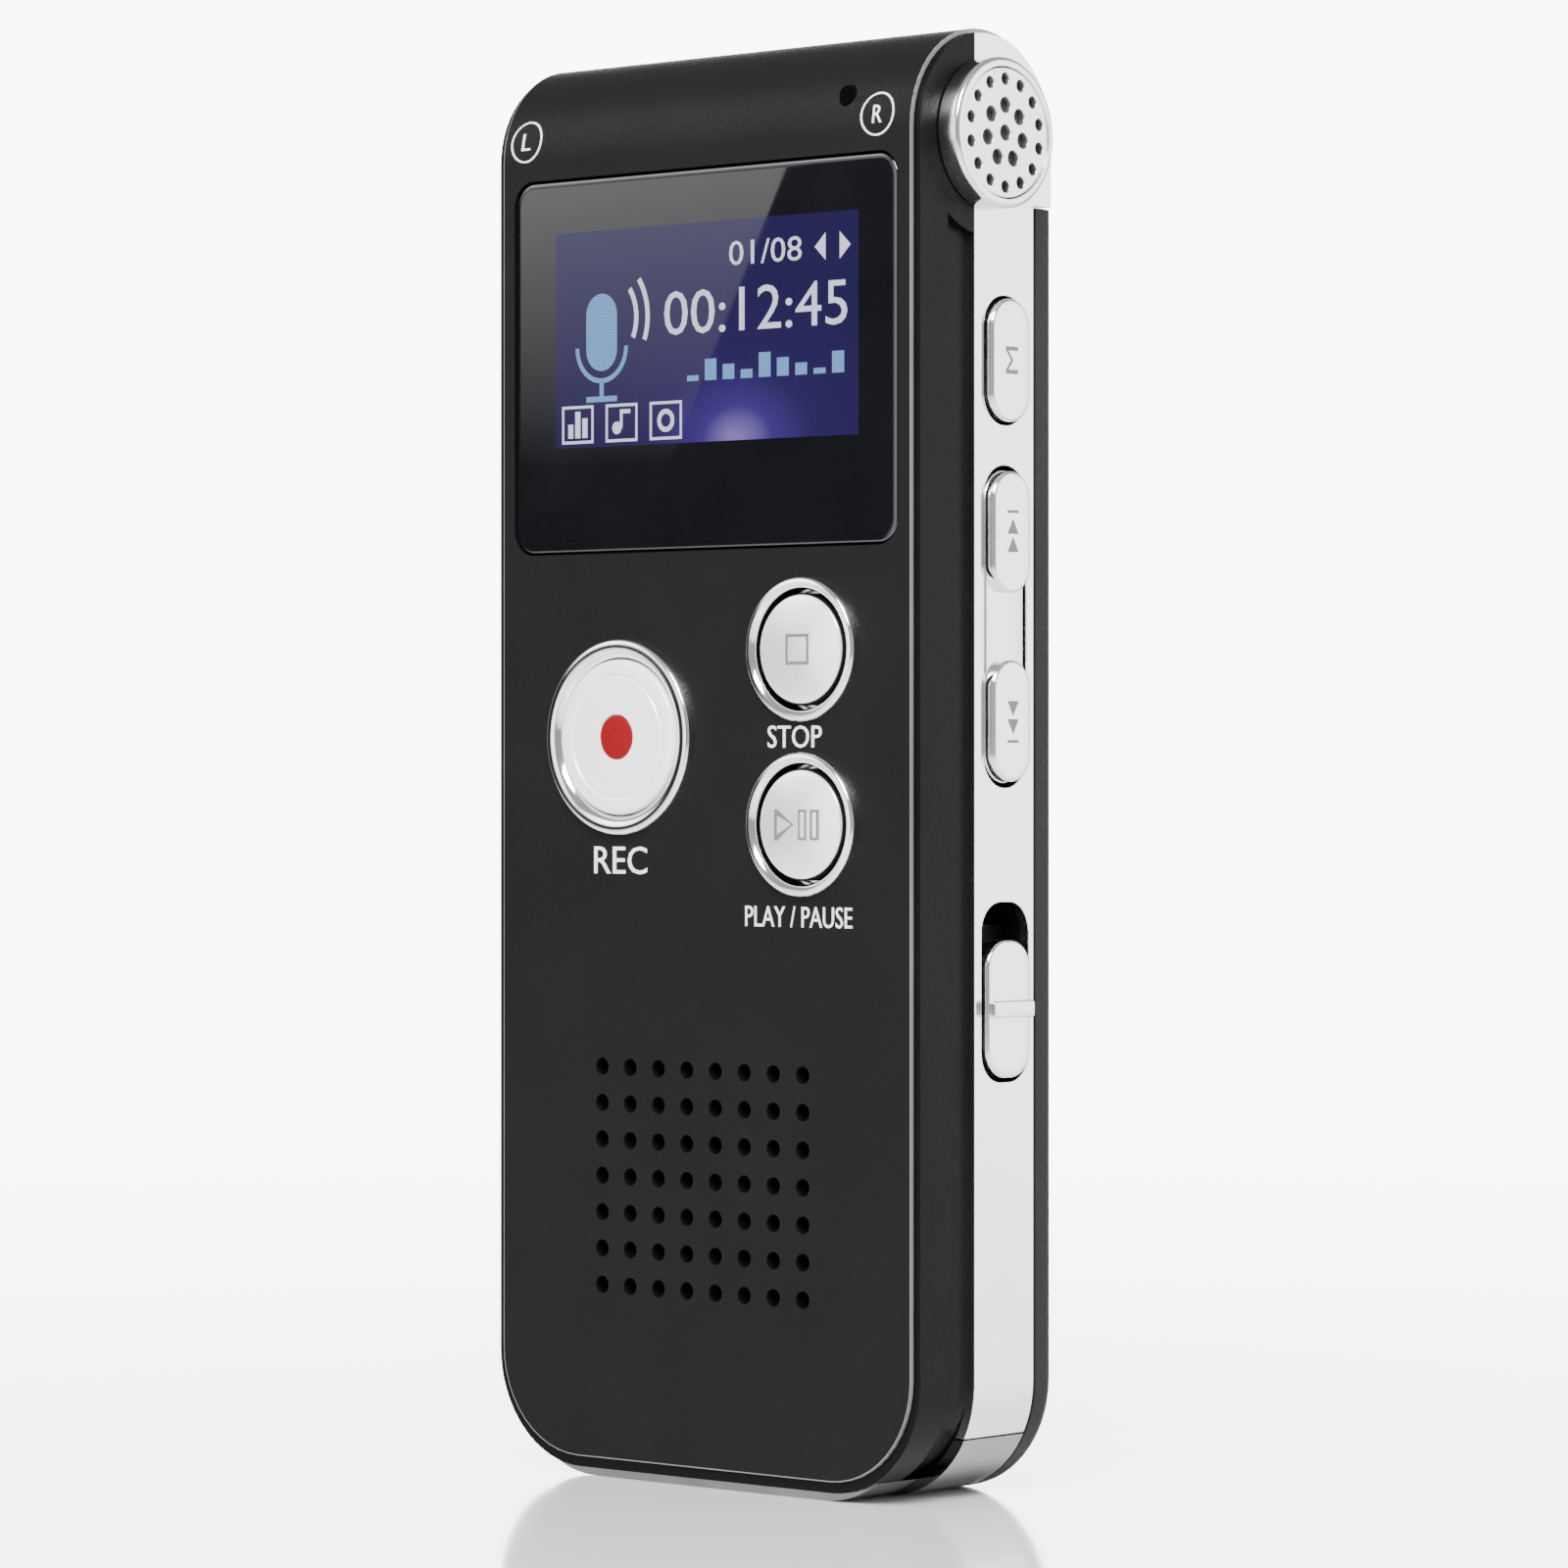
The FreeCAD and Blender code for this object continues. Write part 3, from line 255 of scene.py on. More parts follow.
# Every material, by the name that the pieces use. Most take two tones and a range of roughness.
M = {
    "plate": moulded("plate_paint", (0.003, 0.003, 0.0032), (0.0042, 0.0042, 0.0045), (0.42, 0.56),
                     0.16 * MM, 0.012 * MM, 0.13),
    # Lighter grey for the bead round the plate: painted highlight of the plate's chamfered edge.
    "edge": moulded("plate_edge_highlight", (0.15, 0.15, 0.155), (0.2, 0.2, 0.205), (0.3, 0.4), 0.1 * MM, 0.004 * MM),
    "housing": moulded("housing_plastic", (0.0018, 0.0018, 0.002), (0.003, 0.003, 0.0032), (0.3, 0.44),
                       0.22 * MM, 0.01 * MM, 0.08),
    "rear": moulded("rear_plastic", (0.006, 0.006, 0.0065), (0.009, 0.009, 0.0095), (0.36, 0.5),
                    0.24 * MM, 0.012 * MM, 0.16),
    "chrome": plated("bright_chrome", (0.86, 0.87, 0.88), (0.93, 0.93, 0.94), (0.05, 0.13),
                     (3, 3, 0.15), 0.0006 * MM),
    "cup": plated("cup_chrome", (0.82, 0.83, 0.85), (0.92, 0.92, 0.93), (0.1, 0.2), (0.3, 2, 2), 0.001 * MM),
    "pad": plated("pad_chrome", (0.84, 0.85, 0.87), (0.93, 0.93, 0.94), (0.12, 0.22), (2, 2, 0.4),
                  0.001 * MM),
    "grille": plated("grille_satin", (0.84, 0.85, 0.86), (0.93, 0.93, 0.94), (0.24, 0.34), (1, 1, 1),
                     0.002 * MM),
    "cap": plated("cap_chrome", (0.24, 0.243, 0.248), (0.3, 0.303, 0.308), (0.1, 0.2), (0.3, 3, 3),
                  0.0006 * MM),
    "rec": spun("rec_satin", (0.93, 0.93, 0.94), (0.97, 0.97, 0.97), (0.22, 0.34), (REC.x, REC.z), 0.1),
    "stop": spun("stop_satin", (0.88, 0.88, 0.9), (0.95, 0.95, 0.95), (0.14, 0.24), (STOP.x, STOP.z), 0.5),
    "play": spun("play_satin", (0.88, 0.88, 0.9), (0.95, 0.95, 0.95), (0.14, 0.24), (PLAY.x, PLAY.z), 0.5),
    "dot": moulded("record_enamel", (0.17, 0.0008, 0.003), (0.2, 0.0012, 0.004), (0.3, 0.4), 0.3 * MM,
                   0.003 * MM, 0.2),
    "window": glossy("window_acrylic", (0.003, 0.003, 0.004), (0.005, 0.005, 0.007), (0.008, 0.02)),
    "backlight": backlight("display_backlight", (3.0 * MM, 73.5 * MM), (17 * MM, 11 * MM)),
    "pale": glowing("display_pale", (0.35, 0.36, 0.6), (0.84, 0.86, 1.0), 1.3),
    "blue": glowing("display_blue", (0.06, 0.14, 0.4), (0.2, 0.48, 0.95), 0.9),
    "ink": printed("label_ink", (0.72, 0.72, 0.72), (0.88, 0.88, 0.88)),
    "mark": printed("etched_mark", (0.09, 0.09, 0.1), (0.15, 0.15, 0.16)),
    "cloth": moulded("acoustic_cloth", (0.008, 0.008, 0.009), (0.02, 0.02, 0.02), (0.8, 0.95), 0.3 * MM,
                     0.06 * MM),
    # The small keys' sleeves: near-black painted shade for the gap between each key and its ring.
    "sleeve": moulded("key_shade_sleeve", (0.002, 0.002, 0.002), (0.004, 0.004, 0.004), (0.6, 0.8), 0.3 * MM,
                      0.01 * MM, 0.1),
    "rubber": moulded("black_rubber", (0.02, 0.02, 0.02), (0.03, 0.03, 0.03), (0.6, 0.8), 0.3 * MM,
                      0.02 * MM),
    "steel": plated("nickel_steel", (0.42, 0.43, 0.45), (0.55, 0.56, 0.58), (0.2, 0.35), (4, 1, 1),
                    0.002 * MM),
    "jack": moulded("jack_plastic", (0.015, 0.015, 0.016), (0.022, 0.022, 0.023), (0.3, 0.4), 0.3 * MM,
                    0.005 * MM),
    "board": moulded("solder_mask", (0.006, 0.05, 0.02), (0.01, 0.07, 0.03), (0.25, 0.4), 0.5 * MM,
                     0.006 * MM),
    "foil": plated("pouch_foil", (0.5, 0.52, 0.55), (0.6, 0.62, 0.66), (0.3, 0.45), (1, 1, 1), 0.02 * MM),
    "wire": moulded("wire_insulation", (0.3, 0.02, 0.02), (0.4, 0.03, 0.03), (0.4, 0.5), 0.3 * MM,
                    0.005 * MM),
    "lens": glossy("indicator_smoke", (0.001, 0.001, 0.001), (0.003, 0.003, 0.003), (0.02, 0.06)),
}

# The material of each CAD node, by its slot, and of two nodes that differ from theirs.
BY_SLOT = {
    "housing": "housing", "plate": "plate", "chrome": "chrome", "window": "window", "display": "backlight",
    "key_metal": "rec", "record_dot": "dot", "lens": "lens", "grille": "grille", "screen_cloth": "cloth",
    "elastomer": "rubber", "steel": "steel", "board": "board", "chip": "jack", "cell": "foil",
    "insulation": "wire",
}
BY_NODE = {"rear_housing": "rear", "bottom_trim": "cap"}


# ---------- CAD nodes that stay ----------

def crisp(node, width):
    """Welds the imported mesh, joins its flat facets and rounds its sharp edges, all as modifiers."""
    node.modifiers.new("weld", "WELD").merge_threshold = 0.002 * MM
    flat = node.modifiers.new("flat", "DECIMATE")
    flat.decimate_type = "DISSOLVE"
    flat.angle_limit = math.radians(0.6)
    bevel = node.modifiers.new("bevel", "BEVEL")
    bevel.width = width
    bevel.segments = 2
    bevel.limit_method = "ANGLE"
    bevel.angle_limit = math.radians(40)
    bevel.use_clamp_overlap = True
    even = node.modifiers.new("even", "WEIGHTED_NORMAL")
    even.keep_sharp = True
    even.weight = 100


def dress_nodes():
    slots = {part["node"]: part["material_slot"] for part in frame["record"]["subparts"]}
    for name, node in NODES.items():
        node.data.materials.clear()
        node.data.materials.append(M[BY_NODE.get(name, BY_SLOT[slots[name]])])
        node.data.shade_smooth()
        node.data.set_sharp_from_angle(angle=math.radians(30))
    crisp(NODES["front_plate"], 0.1 * MM)
    crisp(NODES["front_housing"], 0.2 * MM)
    crisp(NODES["rear_housing"], 0.12 * MM)
    for name in ("side_trim_right", "side_trim_left", "bottom_trim"):
        crisp(NODES[name], 0.16 * MM)


# ---------- new pieces ----------

def front(u, v, h):
    """A place on the front: u to the right, v up and h forwards of the roll's axis."""
    return (u, -h, v)


def right(u, v, h):
    """A place on the right side: u backwards, v up and h outwards."""
    return (h, u, v)


def left(u, v, h):
    """The same on the left side."""
    return (-h, u, v)


ROLL_Z = 94.0 * MM                   # axis of the rolled top
ROLL_R = 7.3 * MM                    # its radius, which is also how far forward the plate is
CIRCLE_STEPS = 96                    # flats round a circle, a corner, a round edge and a dome
CORNER_STEPS = 12
ARC_STEPS = 5
DOME_STEPS = 14


def on_plate(u, v, h):
    """A place that follows the front plate, flat below the roll and round above it."""
    rise = max(0.0, v - ROLL_Z)
    return (u, -math.sqrt(ROLL_R ** 2 - rise ** 2) - h, v)


def piece(name, points, faces, body, material, stands_for=()):
    """A new mesh that rides a body, fills a slot and may stand in for CAD nodes."""
    mesh = bpy.data.meshes.new(name)
    mesh.from_pydata(points, [], faces)
    mesh.validate()
    mesh.update()
    mesh.materials.append(M[material])
    item = bpy.data.objects.new(name, mesh)
    bpy.context.scene.collection.objects.link(item)
    mesh.shade_smooth()
    mesh.set_sharp_from_angle(angle=math.radians(35))
    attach(item, body)
    if stands_for:
        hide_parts(*stands_for)
    return item


def circle(u, v, radius):
    def outline(inset):
        reach = radius - inset
        turns = [2 * math.pi * k / CIRCLE_STEPS for k in range(CIRCLE_STEPS)]
        return [(u + reach * math.cos(t), v + reach * math.sin(t)) for t in turns]
    return outline


def rounded(u, v, half_u, half_v, radius):
    """A rectangle with round corners; a stadium if the radius is half its width."""
    def outline(inset):
        r = max(radius - inset, 0.02 * MM)
        points = []
        for k, (su, sv) in enumerate(((1, 1), (-1, 1), (-1, -1), (1, -1))):
            cu = u + su * (half_u - inset - r)
            cv = v + sv * (half_v - inset - r)
            for j in range(CORNER_STEPS + 1):
                turn = math.pi / 2 * (k + j / CORNER_STEPS)
                points.append((cu + r * math.cos(turn), cv + r * math.sin(turn)))
        return points
    return outline


def stack(name, outline, levels, place, body, material, stands_for=(), ring=False):
    """Skins a pile of outlines, each with its inset and height; a ring's last outline joins its first."""
    loops = [[place(u, v, h) for u, v in outline(inset)] for inset, h in levels]
    count = len(loops[0])
    points = [p for loop in loops for p in loop]
    faces = []
    last = len(loops) if ring else len(loops) - 1
    for a in range(last):
        b = (a + 1) % len(loops)
        for k in range(count):
            n = (k + 1) % count
            faces.append((a * count + k, a * count + n, b * count + n, b * count + k))
    if not ring:
        faces.append(tuple(reversed(range(count))))
        faces.append(tuple(range((len(loops) - 1) * count, len(loops) * count)))
    tidy_normals(piece(name, points, faces, body, material, stands_for))


def tidy_normals(item):
    """Turns every face of a closed piece outwards."""
    work = bmesh.new()
    work.from_mesh(item.data)
    bmesh.ops.recalc_face_normals(work, faces=work.faces)
    work.to_mesh(item.data)
    work.free()


def arc_levels(inset, height, radius, low, high):
    """Part of a round edge: insets and heights along an arc, for angles in degrees."""
    out = []
    for k in range(ARC_STEPS + 1):
        turn = math.radians(low + (high - low) * k / ARC_STEPS)
        out.append((inset + radius - radius * math.cos(turn), height + radius * math.sin(turn)))
    return out


def dome(radius, edge_height, edge, rise):
    """A key top: a round edge, then a shallow dome to its middle."""
    levels = arc_levels(0, edge_height - edge, edge, 0, 80)
    start = levels[-1][0]
    for k in range(1, DOME_STEPS):
        share = k / DOME_STEPS
        inset = start + (radius - start) * share
        levels.append((inset, edge_height + rise * (1 - (1 - share) ** 2)))
    return levels


FLANGE = 0.55 * MM                   # a front key's hidden flange: how far past the key, its back and face
FLANGE_BACK = 4.7 * MM
FLANGE_FACE = 5.4 * MM
STEM = 1.4 * MM                      # radius of a front key's stem
DOT_WELL = 1.6 * MM                  # radius of the well that the record key's dot sits in
SLEEVE = 0.2 * MM                    # wall of the black sleeve round a small key's metal cap; the sleeve is painted shade for the gap between key and ring
SLEEVE_FOOT = 5.5 * MM
RING_FOOT = 5.8 * MM                 # where a key's ring starts, behind the plate
RING_GAP = 0.15 * MM                 # between a key and its ring


def rec_face(look, face):
    """The record key above its flange: a round edge, a fine groove and a well for the dot."""
    groove = face - 0.1 * MM
    levels = [(0, FLANGE_FACE)] + arc_levels(0, face - 0.3 * MM, 0.3 * MM, 0, 85)
    levels += [(1.0 * MM, face), (1.12 * MM, groove), (1.24 * MM, groove), (1.36 * MM, face)]
    levels += [(look - DOT_WELL - 0.02 * MM, face), (look - DOT_WELL, face - 0.15 * MM)]
    return levels


def small_face(look, face, skirt):
    """A small key above its flange: a domed metal cap that stands out of its black sleeve, whose black
    paints the shade in the gap round the key.
    """
    cap = 0.12 * MM
    clear = 0.01 * MM
    levels = [(SLEEVE + clear, FLANGE_FACE), (SLEEVE + clear, skirt + clear), (cap, skirt + clear)]
    top = dome(look - cap, face - 0.16 * MM, 0.15 * MM, 0.31 * MM)
    return levels + [(cap + inset, height) for inset, height in top]


# The near-black sleeve round a small key's cap: painted shade for the dark gap between the key and its ring.
def key_shade_sleeve(name, outline, skirt, body):
    chamfer = 0.06 * MM
    levels = [(0, SLEEVE_FOOT), (0, skirt - chamfer), (chamfer, skirt), (SLEEVE, skirt),
              (SLEEVE, SLEEVE_FOOT)]
    stack(name + "_key_shade_sleeve", outline, levels, front, body, "sleeve", ring=True)


def key_ring(name, centre, radius):
    """The bright ring round a front key: a round lip outside and a slope down to the key."""
    low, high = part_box(name + "_bezel")
    outer = (high[0] - low[0]) / 2
    lip = -low[1]
    width = outer - (radius + RING_GAP)
    seat = 0.75 * MM
    profile = [(seat, RING_FOOT), (seat, ROLL_R), (0, ROLL_R)]
    profile += arc_levels(0, lip - 0.32 * MM, 0.3 * MM, 0, 75)
    profile += [(width * 0.5, lip - 0.01 * MM), (width * 0.8, lip - 0.16 * MM)]
    profile += [(width, lip - 0.5 * MM), (width, RING_FOOT)]
    stack(name + "_ring", circle(centre.x, centre.z, outer), profile, front, "case", "chrome",
          (name + "_bezel",), ring=True)


def front_keys():
    """The three round keys with their rings, and the record key's dot."""
    for name, centre, body in (("rec", REC, "rec_key"), ("stop", STOP, "stop_key"),
                               ("play", PLAY, "play_key")):
        low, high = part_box(name + "_button")
        flange = (high[0] - low[0]) / 2
        radius = flange - FLANGE
        face = -low[1]
        look = radius - (0.0 if name == "rec" else 0.12 * MM)
        outline = circle(centre.x, centre.z, look)
        stem = look - STEM
        levels = [(stem, -high[1]), (stem, FLANGE_BACK), (look - flange, FLANGE_BACK),
                  (look - flange, FLANGE_FACE)]
        if name == "rec":
            levels += rec_face(look, face)
        else:
            skirt = face - 0.34 * MM
            key_shade_sleeve(name, outline, skirt, body)
            levels += small_face(look, face, skirt)
        stack(name + "_key_top", outline, levels, front, body, name, (name + "_button",))
        key_ring(name, centre, radius)
    low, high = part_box("rec_dot")
    radius = (high[0] - low[0]) / 2
    proud = 0.03 * MM
    levels = [(0, -high[1])] + dome(radius, -low[1] - proud, 0.1 * MM, proud)
    stack("record_dot", circle(REC.x, REC.z, radius - 0.02 * MM), levels, front, "rec_key",
          "dot",
          ("rec_dot",))


def window():
    """The window's pane, flat inside a fine round rim."""
    low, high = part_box("display_window")
    u, v = (low[0] + high[0]) / 2, (low[2] + high[2]) / 2
    half_u, half_v = (high[0] - low[0]) / 2, (high[2] - low[2]) / 2
    face = -low[1]
    rim = 0.25 * MM
    levels = [(0, -high[1]), (0, face - 0.28 * MM)] + arc_levels(0, face - rim, rim, 0, 90)
    levels.append((2 * rim, face))
    outline = rounded(u, v, half_u, half_v, 1.75 * MM)
    stack("window_pane", outline, levels, front, "case", "window", ("display_window",))


LIP_CORNER = 7.4 * MM                # radius of the plate's lower corners
LIP_TURN = 112                       # how far round the roll the bead runs, in degrees from the front
# The bead's section: outwards and off the surface, in millimetres.
LIP_SECTION = ((0.02, -0.28), (0.02, -0.04), (-0.02, 0.012), (-0.07, 0.012), (-0.07, -0.28))


def lip_path(side, half, base):
    """Places along one side's bead, each with the way outwards and the way off the surface."""
    roll_steps, corner_steps = 16, 12
    run = []
    for k in range(roll_steps + 1):
        turn = math.radians(LIP_TURN * (roll_steps - k) / roll_steps)
        normal = Vector((0, -math.cos(turn), math.sin(turn)))
        run.append((Vector((side * half, 0, ROLL_Z)) + normal * ROLL_R, Vector((side, 0, 0)), normal))
    for k in range(corner_steps + 1):
        turn = math.radians(90 * k / corner_steps)
        away = Vector((side * math.cos(turn), 0, -math.sin(turn)))
        centre = Vector((side * (half - LIP_CORNER), -ROLL_R, base + LIP_CORNER))
        run.append((centre + away * LIP_CORNER, away, Vector((0, -1, 0))))
    return run


def plate_highlight_bead():
    """The plate's painted edge highlight: a fine lighter-grey bead down both ends of the roll, the sides and
    the bottom, standing in for the light caught by the plate's chamfer.
    """
    low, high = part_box("front_plate")
    half, base = high[0], low[2]
    stations = lip_path(-1, half, base) + lip_path(1, half, base)[::-1]
    points = []
    for place, away, normal in stations:
        points += [place + away * (a * MM) + normal * (b * MM) for a, b in LIP_SECTION]
    count = len(LIP_SECTION)
    faces = [tuple(range(count)), tuple(range(len(points) - count, len(points)))]
    for a in range(len(stations) - 1):
        for k in range(count):
            n = (k + 1) % count
            faces.append((a * count + k, a * count + n, (a + 1) * count + n, (a + 1) * count + k))
    # The bead takes the lighter-grey edge colour, a painted highlight.
    tidy_normals(piece("plate_highlight_bead", points, faces, "case", "edge"))


def flat_shape(name, outlines, place, height, thick, body, material):
    """Thin printed or lit marks: each closed outline becomes a low solid, and all are one piece."""
    points, faces = [], []
    for outline in outlines:
        first = len(points)
        count = len(outline)
        points += [place(u, v, height) for u, v in outline]
        points += [place(u, v, height + thick) for u, v in outline]
        faces.append(tuple(first + k for k in range(count)))
        faces.append(tuple(first + count + k for k in reversed(range(count))))
        for k in range(count):
            n = (k + 1) % count
            faces.append((first + k, first + count + k, first + count + n, first + n))
    tidy_normals(piece(name, points, faces, body, material))


def bar(u0, v0, u1, v1):
    """A filled box, from its lower left corner to its upper right one."""
    return [(u0, v0), (u1, v0), (u1, v1), (u0, v1)]


def frame_bars(u0, v0, u1, v1, line):
    """A hollow box drawn as four bars that meet without overlapping."""
    return [bar(u0, v0, u1, v0 + line), bar(u0, v1 - line, u1, v1),
            bar(u0, v0 + line, u0 + line, v1 - line), bar(u1 - line, v0 + line, u1, v1 - line)]


def disc(u, v, radius, steps=28, start=0.0, end=1.0):
    """A filled circle, or the part of one from start to end, in turns."""
    turns = [2 * math.pi * (start + (end - start) * k / steps) for k in range(steps + (end - start < 1))]
    return [(u + radius * math.cos(t), v + radius * math.sin(t)) for t in turns]


def annulus(u, v, radius, line, steps=36, start=0.0, end=1.0):
    """A ring or part of one, from start to end in turns, as short four-sided stretches."""
    out = []
    for k in range(steps):
        a = 2 * math.pi * (start + (end - start) * k / steps)
        b = 2 * math.pi * (start + (end - start) * (k + 1) / steps)
        inner, outer = radius - line / 2, radius + line / 2
        corners = ((inner, a), (outer, a), (outer, b), (inner, b))
        out.append([(u + reach * math.cos(turn), v + reach * math.sin(turn)) for reach, turn in corners])
    return out


def lettering(name, text, place, box, height, thick, body, material, turned=False):
    """Text fitted to a box (u0, v0, u1, v1) and laid on a surface; turned text reads upwards."""
    curve = bpy.data.curves.new(name + "_curve", "FONT")
    curve.body = text
    curve.extrude = 0.5
    curve.resolution_u = 3
    holder = bpy.data.objects.new(name + "_holder", curve)
    bpy.context.scene.collection.objects.link(holder)
    bpy.context.view_layer.update()
    mesh = bpy.data.meshes.new_from_object(holder.evaluated_get(bpy.context.evaluated_depsgraph_get()))
    bpy.data.objects.remove(holder)
    raw = [vertex.co.copy() for vertex in mesh.vertices]
    if turned:
        raw = [Vector((-p.y, p.x, p.z)) for p in raw]
    low = [min(p[k] for p in raw) for k in range(2)]
    high = [max(p[k] for p in raw) for k in range(2)]
    points = []
    for p in raw:
        u = box[0] + (box[2] - box[0]) * (p.x - low[0]) / (high[0] - low[0])
        v = box[1] + (box[3] - box[1]) * (p.y - low[1]) / (high[1] - low[1])
        points.append(place(u, v, height + thick * (p.z + 0.5)))
    faces = [tuple(face.vertices) for face in mesh.polygons]
    tidy_normals(piece(name, points, faces, body, material))


def scaled(*numbers):
    """Millimetres as metres."""
    return tuple(n * MM for n in numbers)


INK_SINK = -0.01 * MM                # how ink sits on the plate, and how thick it is
INK_THICK = 0.07 * MM
SIGN_HALF = 1.05 * MM                # half the height of the stop and play signs
SIGN_THICK = 0.03 * MM
SIGN_LINE = 0.2 * MM
WORDS = (                            # name, text and box in millimetres
    ("label_rec", "REC", (-10.3, 42.95, -5.15, 44.9)),
    ("label_stop", "STOP", (6.35, 51.85, 11.35, 53.4)),
    ("label_play", "PLAY / PAUSE", (4.25, 39.45, 14.15, 40.9)),
)


def labels():
    """The words on the plate, the ringed L and R on the roll, and the signs on the small keys."""
    for name, text, box in WORDS:
        lettering(name, text, on_plate, scaled(*box), INK_SINK, INK_THICK, "case", "ink")
    for name, text, u, v in (("mark_left", "L", -17.2, 95.5), ("mark_right", "R", 16.35, 95.1)):
        ring = annulus(u * MM, v * MM, 1.45 * MM, 0.13 * MM)
        flat_shape(name + "_ring", ring, on_plate, INK_SINK, INK_THICK, "case", "ink")
        box = scaled(u - 0.42, v - 0.62, u + 0.42, v + 0.62)
        lettering(name, text, on_plate, box, INK_SINK, INK_THICK, "case", "ink")
    top = -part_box("stop_button")[0][1] + 0.13 * MM
    square = frame_bars(STOP.x - SIGN_HALF, STOP.z - SIGN_HALF, STOP.x + SIGN_HALF, STOP.z + SIGN_HALF,
                        SIGN_LINE)
    flat_shape("stop_sign", square, front, top, SIGN_THICK, "stop_key", "mark")
    u, v = PLAY.x, PLAY.z
    back, tip = u - 2.1 * MM, u - 0.3 * MM
    low, high = v - SIGN_HALF, v + SIGN_HALF
    inner = back + SIGN_LINE
    slope = 1.6 * SIGN_LINE
    arrow = [bar(back, low, inner, high),
             [(inner, high), (inner, high - slope), (tip - SIGN_LINE, v), (tip, v)],
             [(tip, v), (tip - SIGN_LINE, v), (inner, low + slope), (inner, low)]]
    for start in (0.1, 1.2):
        arrow += frame_bars(u + start * MM, low, u + (start + 0.75) * MM, high, 0.16 * MM)
    flat_shape("play_sign", arrow, front, top, SIGN_THICK, "play_key", "mark")


def display_picture():
    """A plain recording screen: a microphone, a running time, a level meter and three menu boxes.

    Its places are in millimetres on the front.
    """
    height = -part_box("display_window")[0][1] - 0.01 * MM
    low, high = scaled(-14.2, 73.3), scaled(14.6, 88.7)
    film = 0.02 * MM
    flat_shape("screen_area", [bar(*low, *high)], front, height, film, "case", "backlight")
    lit = height + film
    thick = 0.008 * MM

    def draw(name, outlines, material):
        flat_shape(name, outlines, front, lit, thick, "case", material)

    mic = [disc(-9.7 * MM, 82.7 * MM, 1.5 * MM, 18, 0.0, 0.5), bar(*scaled(-11.2, 80.2, -8.2, 82.7)),
           disc(-9.7 * MM, 80.2 * MM, 1.5 * MM, 18, 0.5, 1.0)]
    draw("screen_microphone", mic, "blue")
    stand = annulus(-9.7 * MM, 80.4 * MM, 2.4 * MM, 0.35 * MM, 18, 0.5, 1.0)
    stand += [bar(*scaled(-9.9, 76.9, -9.5, 77.9)), bar(*scaled(-11.2, 76.5, -8.2, 76.9))]
    draw("screen_stand", stand, "blue")
    waves = annulus(-9.7 * MM, 82.4 * MM, 3.4 * MM, 0.4 * MM, 8, -0.07, 0.1)
    waves += annulus(-9.7 * MM, 82.4 * MM, 4.5 * MM, 0.4 * MM, 10, -0.06, 0.1)
    draw("screen_waves", waves, "pale")
    for name, text, box in (("screen_time", "00:12:45", (-3.6, 80.9, 13.6, 84.0)),
                            ("screen_track", "01/08", (2.6, 85.5, 9.4, 87.2))):
        lettering(name, text, front, scaled(*box), lit, thick, "case", "pale")
    arrows = [[(10.6 * MM, 86.35 * MM), (11.6 * MM, 85.4 * MM), (11.6 * MM, 87.3 * MM)],
              [(13.9 * MM, 86.35 * MM), (12.9 * MM, 87.3 * MM), (12.9 * MM, 85.4 * MM)]]
    draw("screen_arrows", arrows, "pale")
    boxes = []
    for k in range(3):
        u = -13.6 + 4.3 * k
        boxes += frame_bars(*scaled(u, 73.6, u + 3.1, 76.3), 0.2 * MM)
    boxes += [bar(*scaled(-13.0, 74.0, -12.5, 75.0)), bar(*scaled(-12.3, 74.0, -11.8, 75.9)),
              bar(*scaled(-11.6, 74.0, -11.1, 75.4))]
    boxes += [disc(*scaled(-8.2, 74.6, 0.45)), bar(*scaled(-7.9, 74.6, -7.65, 75.9)),
              bar(*scaled(-7.65, 75.6, -6.9, 75.9))]
    boxes += annulus(*scaled(-3.45, 74.95, 0.65, 0.35), 16)
    draw("screen_boxes", boxes, "pale")
    meter = []
    for k in range(9):
        meter.append(bar(*scaled(-1.4 + 1.7 * k, 77.6, -0.3 + 1.7 * k, 78.0 + 0.22 * ((k * 5) % 7))))
    draw("screen_meter", meter, "blue")


PAD_Y = 2.0 * MM                     # middle of the long side keys, from front to back
PAD_HALF = 2.05 * MM
PAD_HALF_LENGTH = 4.25 * MM
PAD_CORNER = PAD_HALF - 0.01 * MM
PAD_EDGE = 0.28 * MM                 # radius of a pad's shoulder, and how far in its flat face starts
PAD_FLAT = 0.7 * MM
PAD_ROOT = 17.3 * MM                 # where the keys' pads and the rockers' bars start, out from the middle
BAR_ROOT = 17.95 * MM


def pad_face(inset, out):
    """A pad's round shoulder and flat face."""
    return arc_levels(inset, out - PAD_EDGE, PAD_EDGE, 0, 85) + [(PAD_FLAT, out)]


def side_pads():
    """The long keys of both sides, with round shoulders, on the bodies of their CAD keys."""
    for node, body, place in (("menu_button", "menu_key", right), ("ab_button", "ab_key", left)):
        low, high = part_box(node)
        out = max(abs(low[0]), abs(high[0]))
        levels = [(0, PAD_ROOT), (0, out - 0.35 * MM)] + pad_face(0, out)
        outline = rounded(PAD_Y, (low[2] + high[2]) / 2, PAD_HALF, PAD_HALF_LENGTH, PAD_CORNER)
        stack(node + "_pad", outline, levels, place, body, "pad", (node,))
    for node, body, place in (("track_rocker", "track_lever", right),
                              ("volume_rocker", "volume_lever", left)):
        rocker(node, body, place)
    hold_slide()


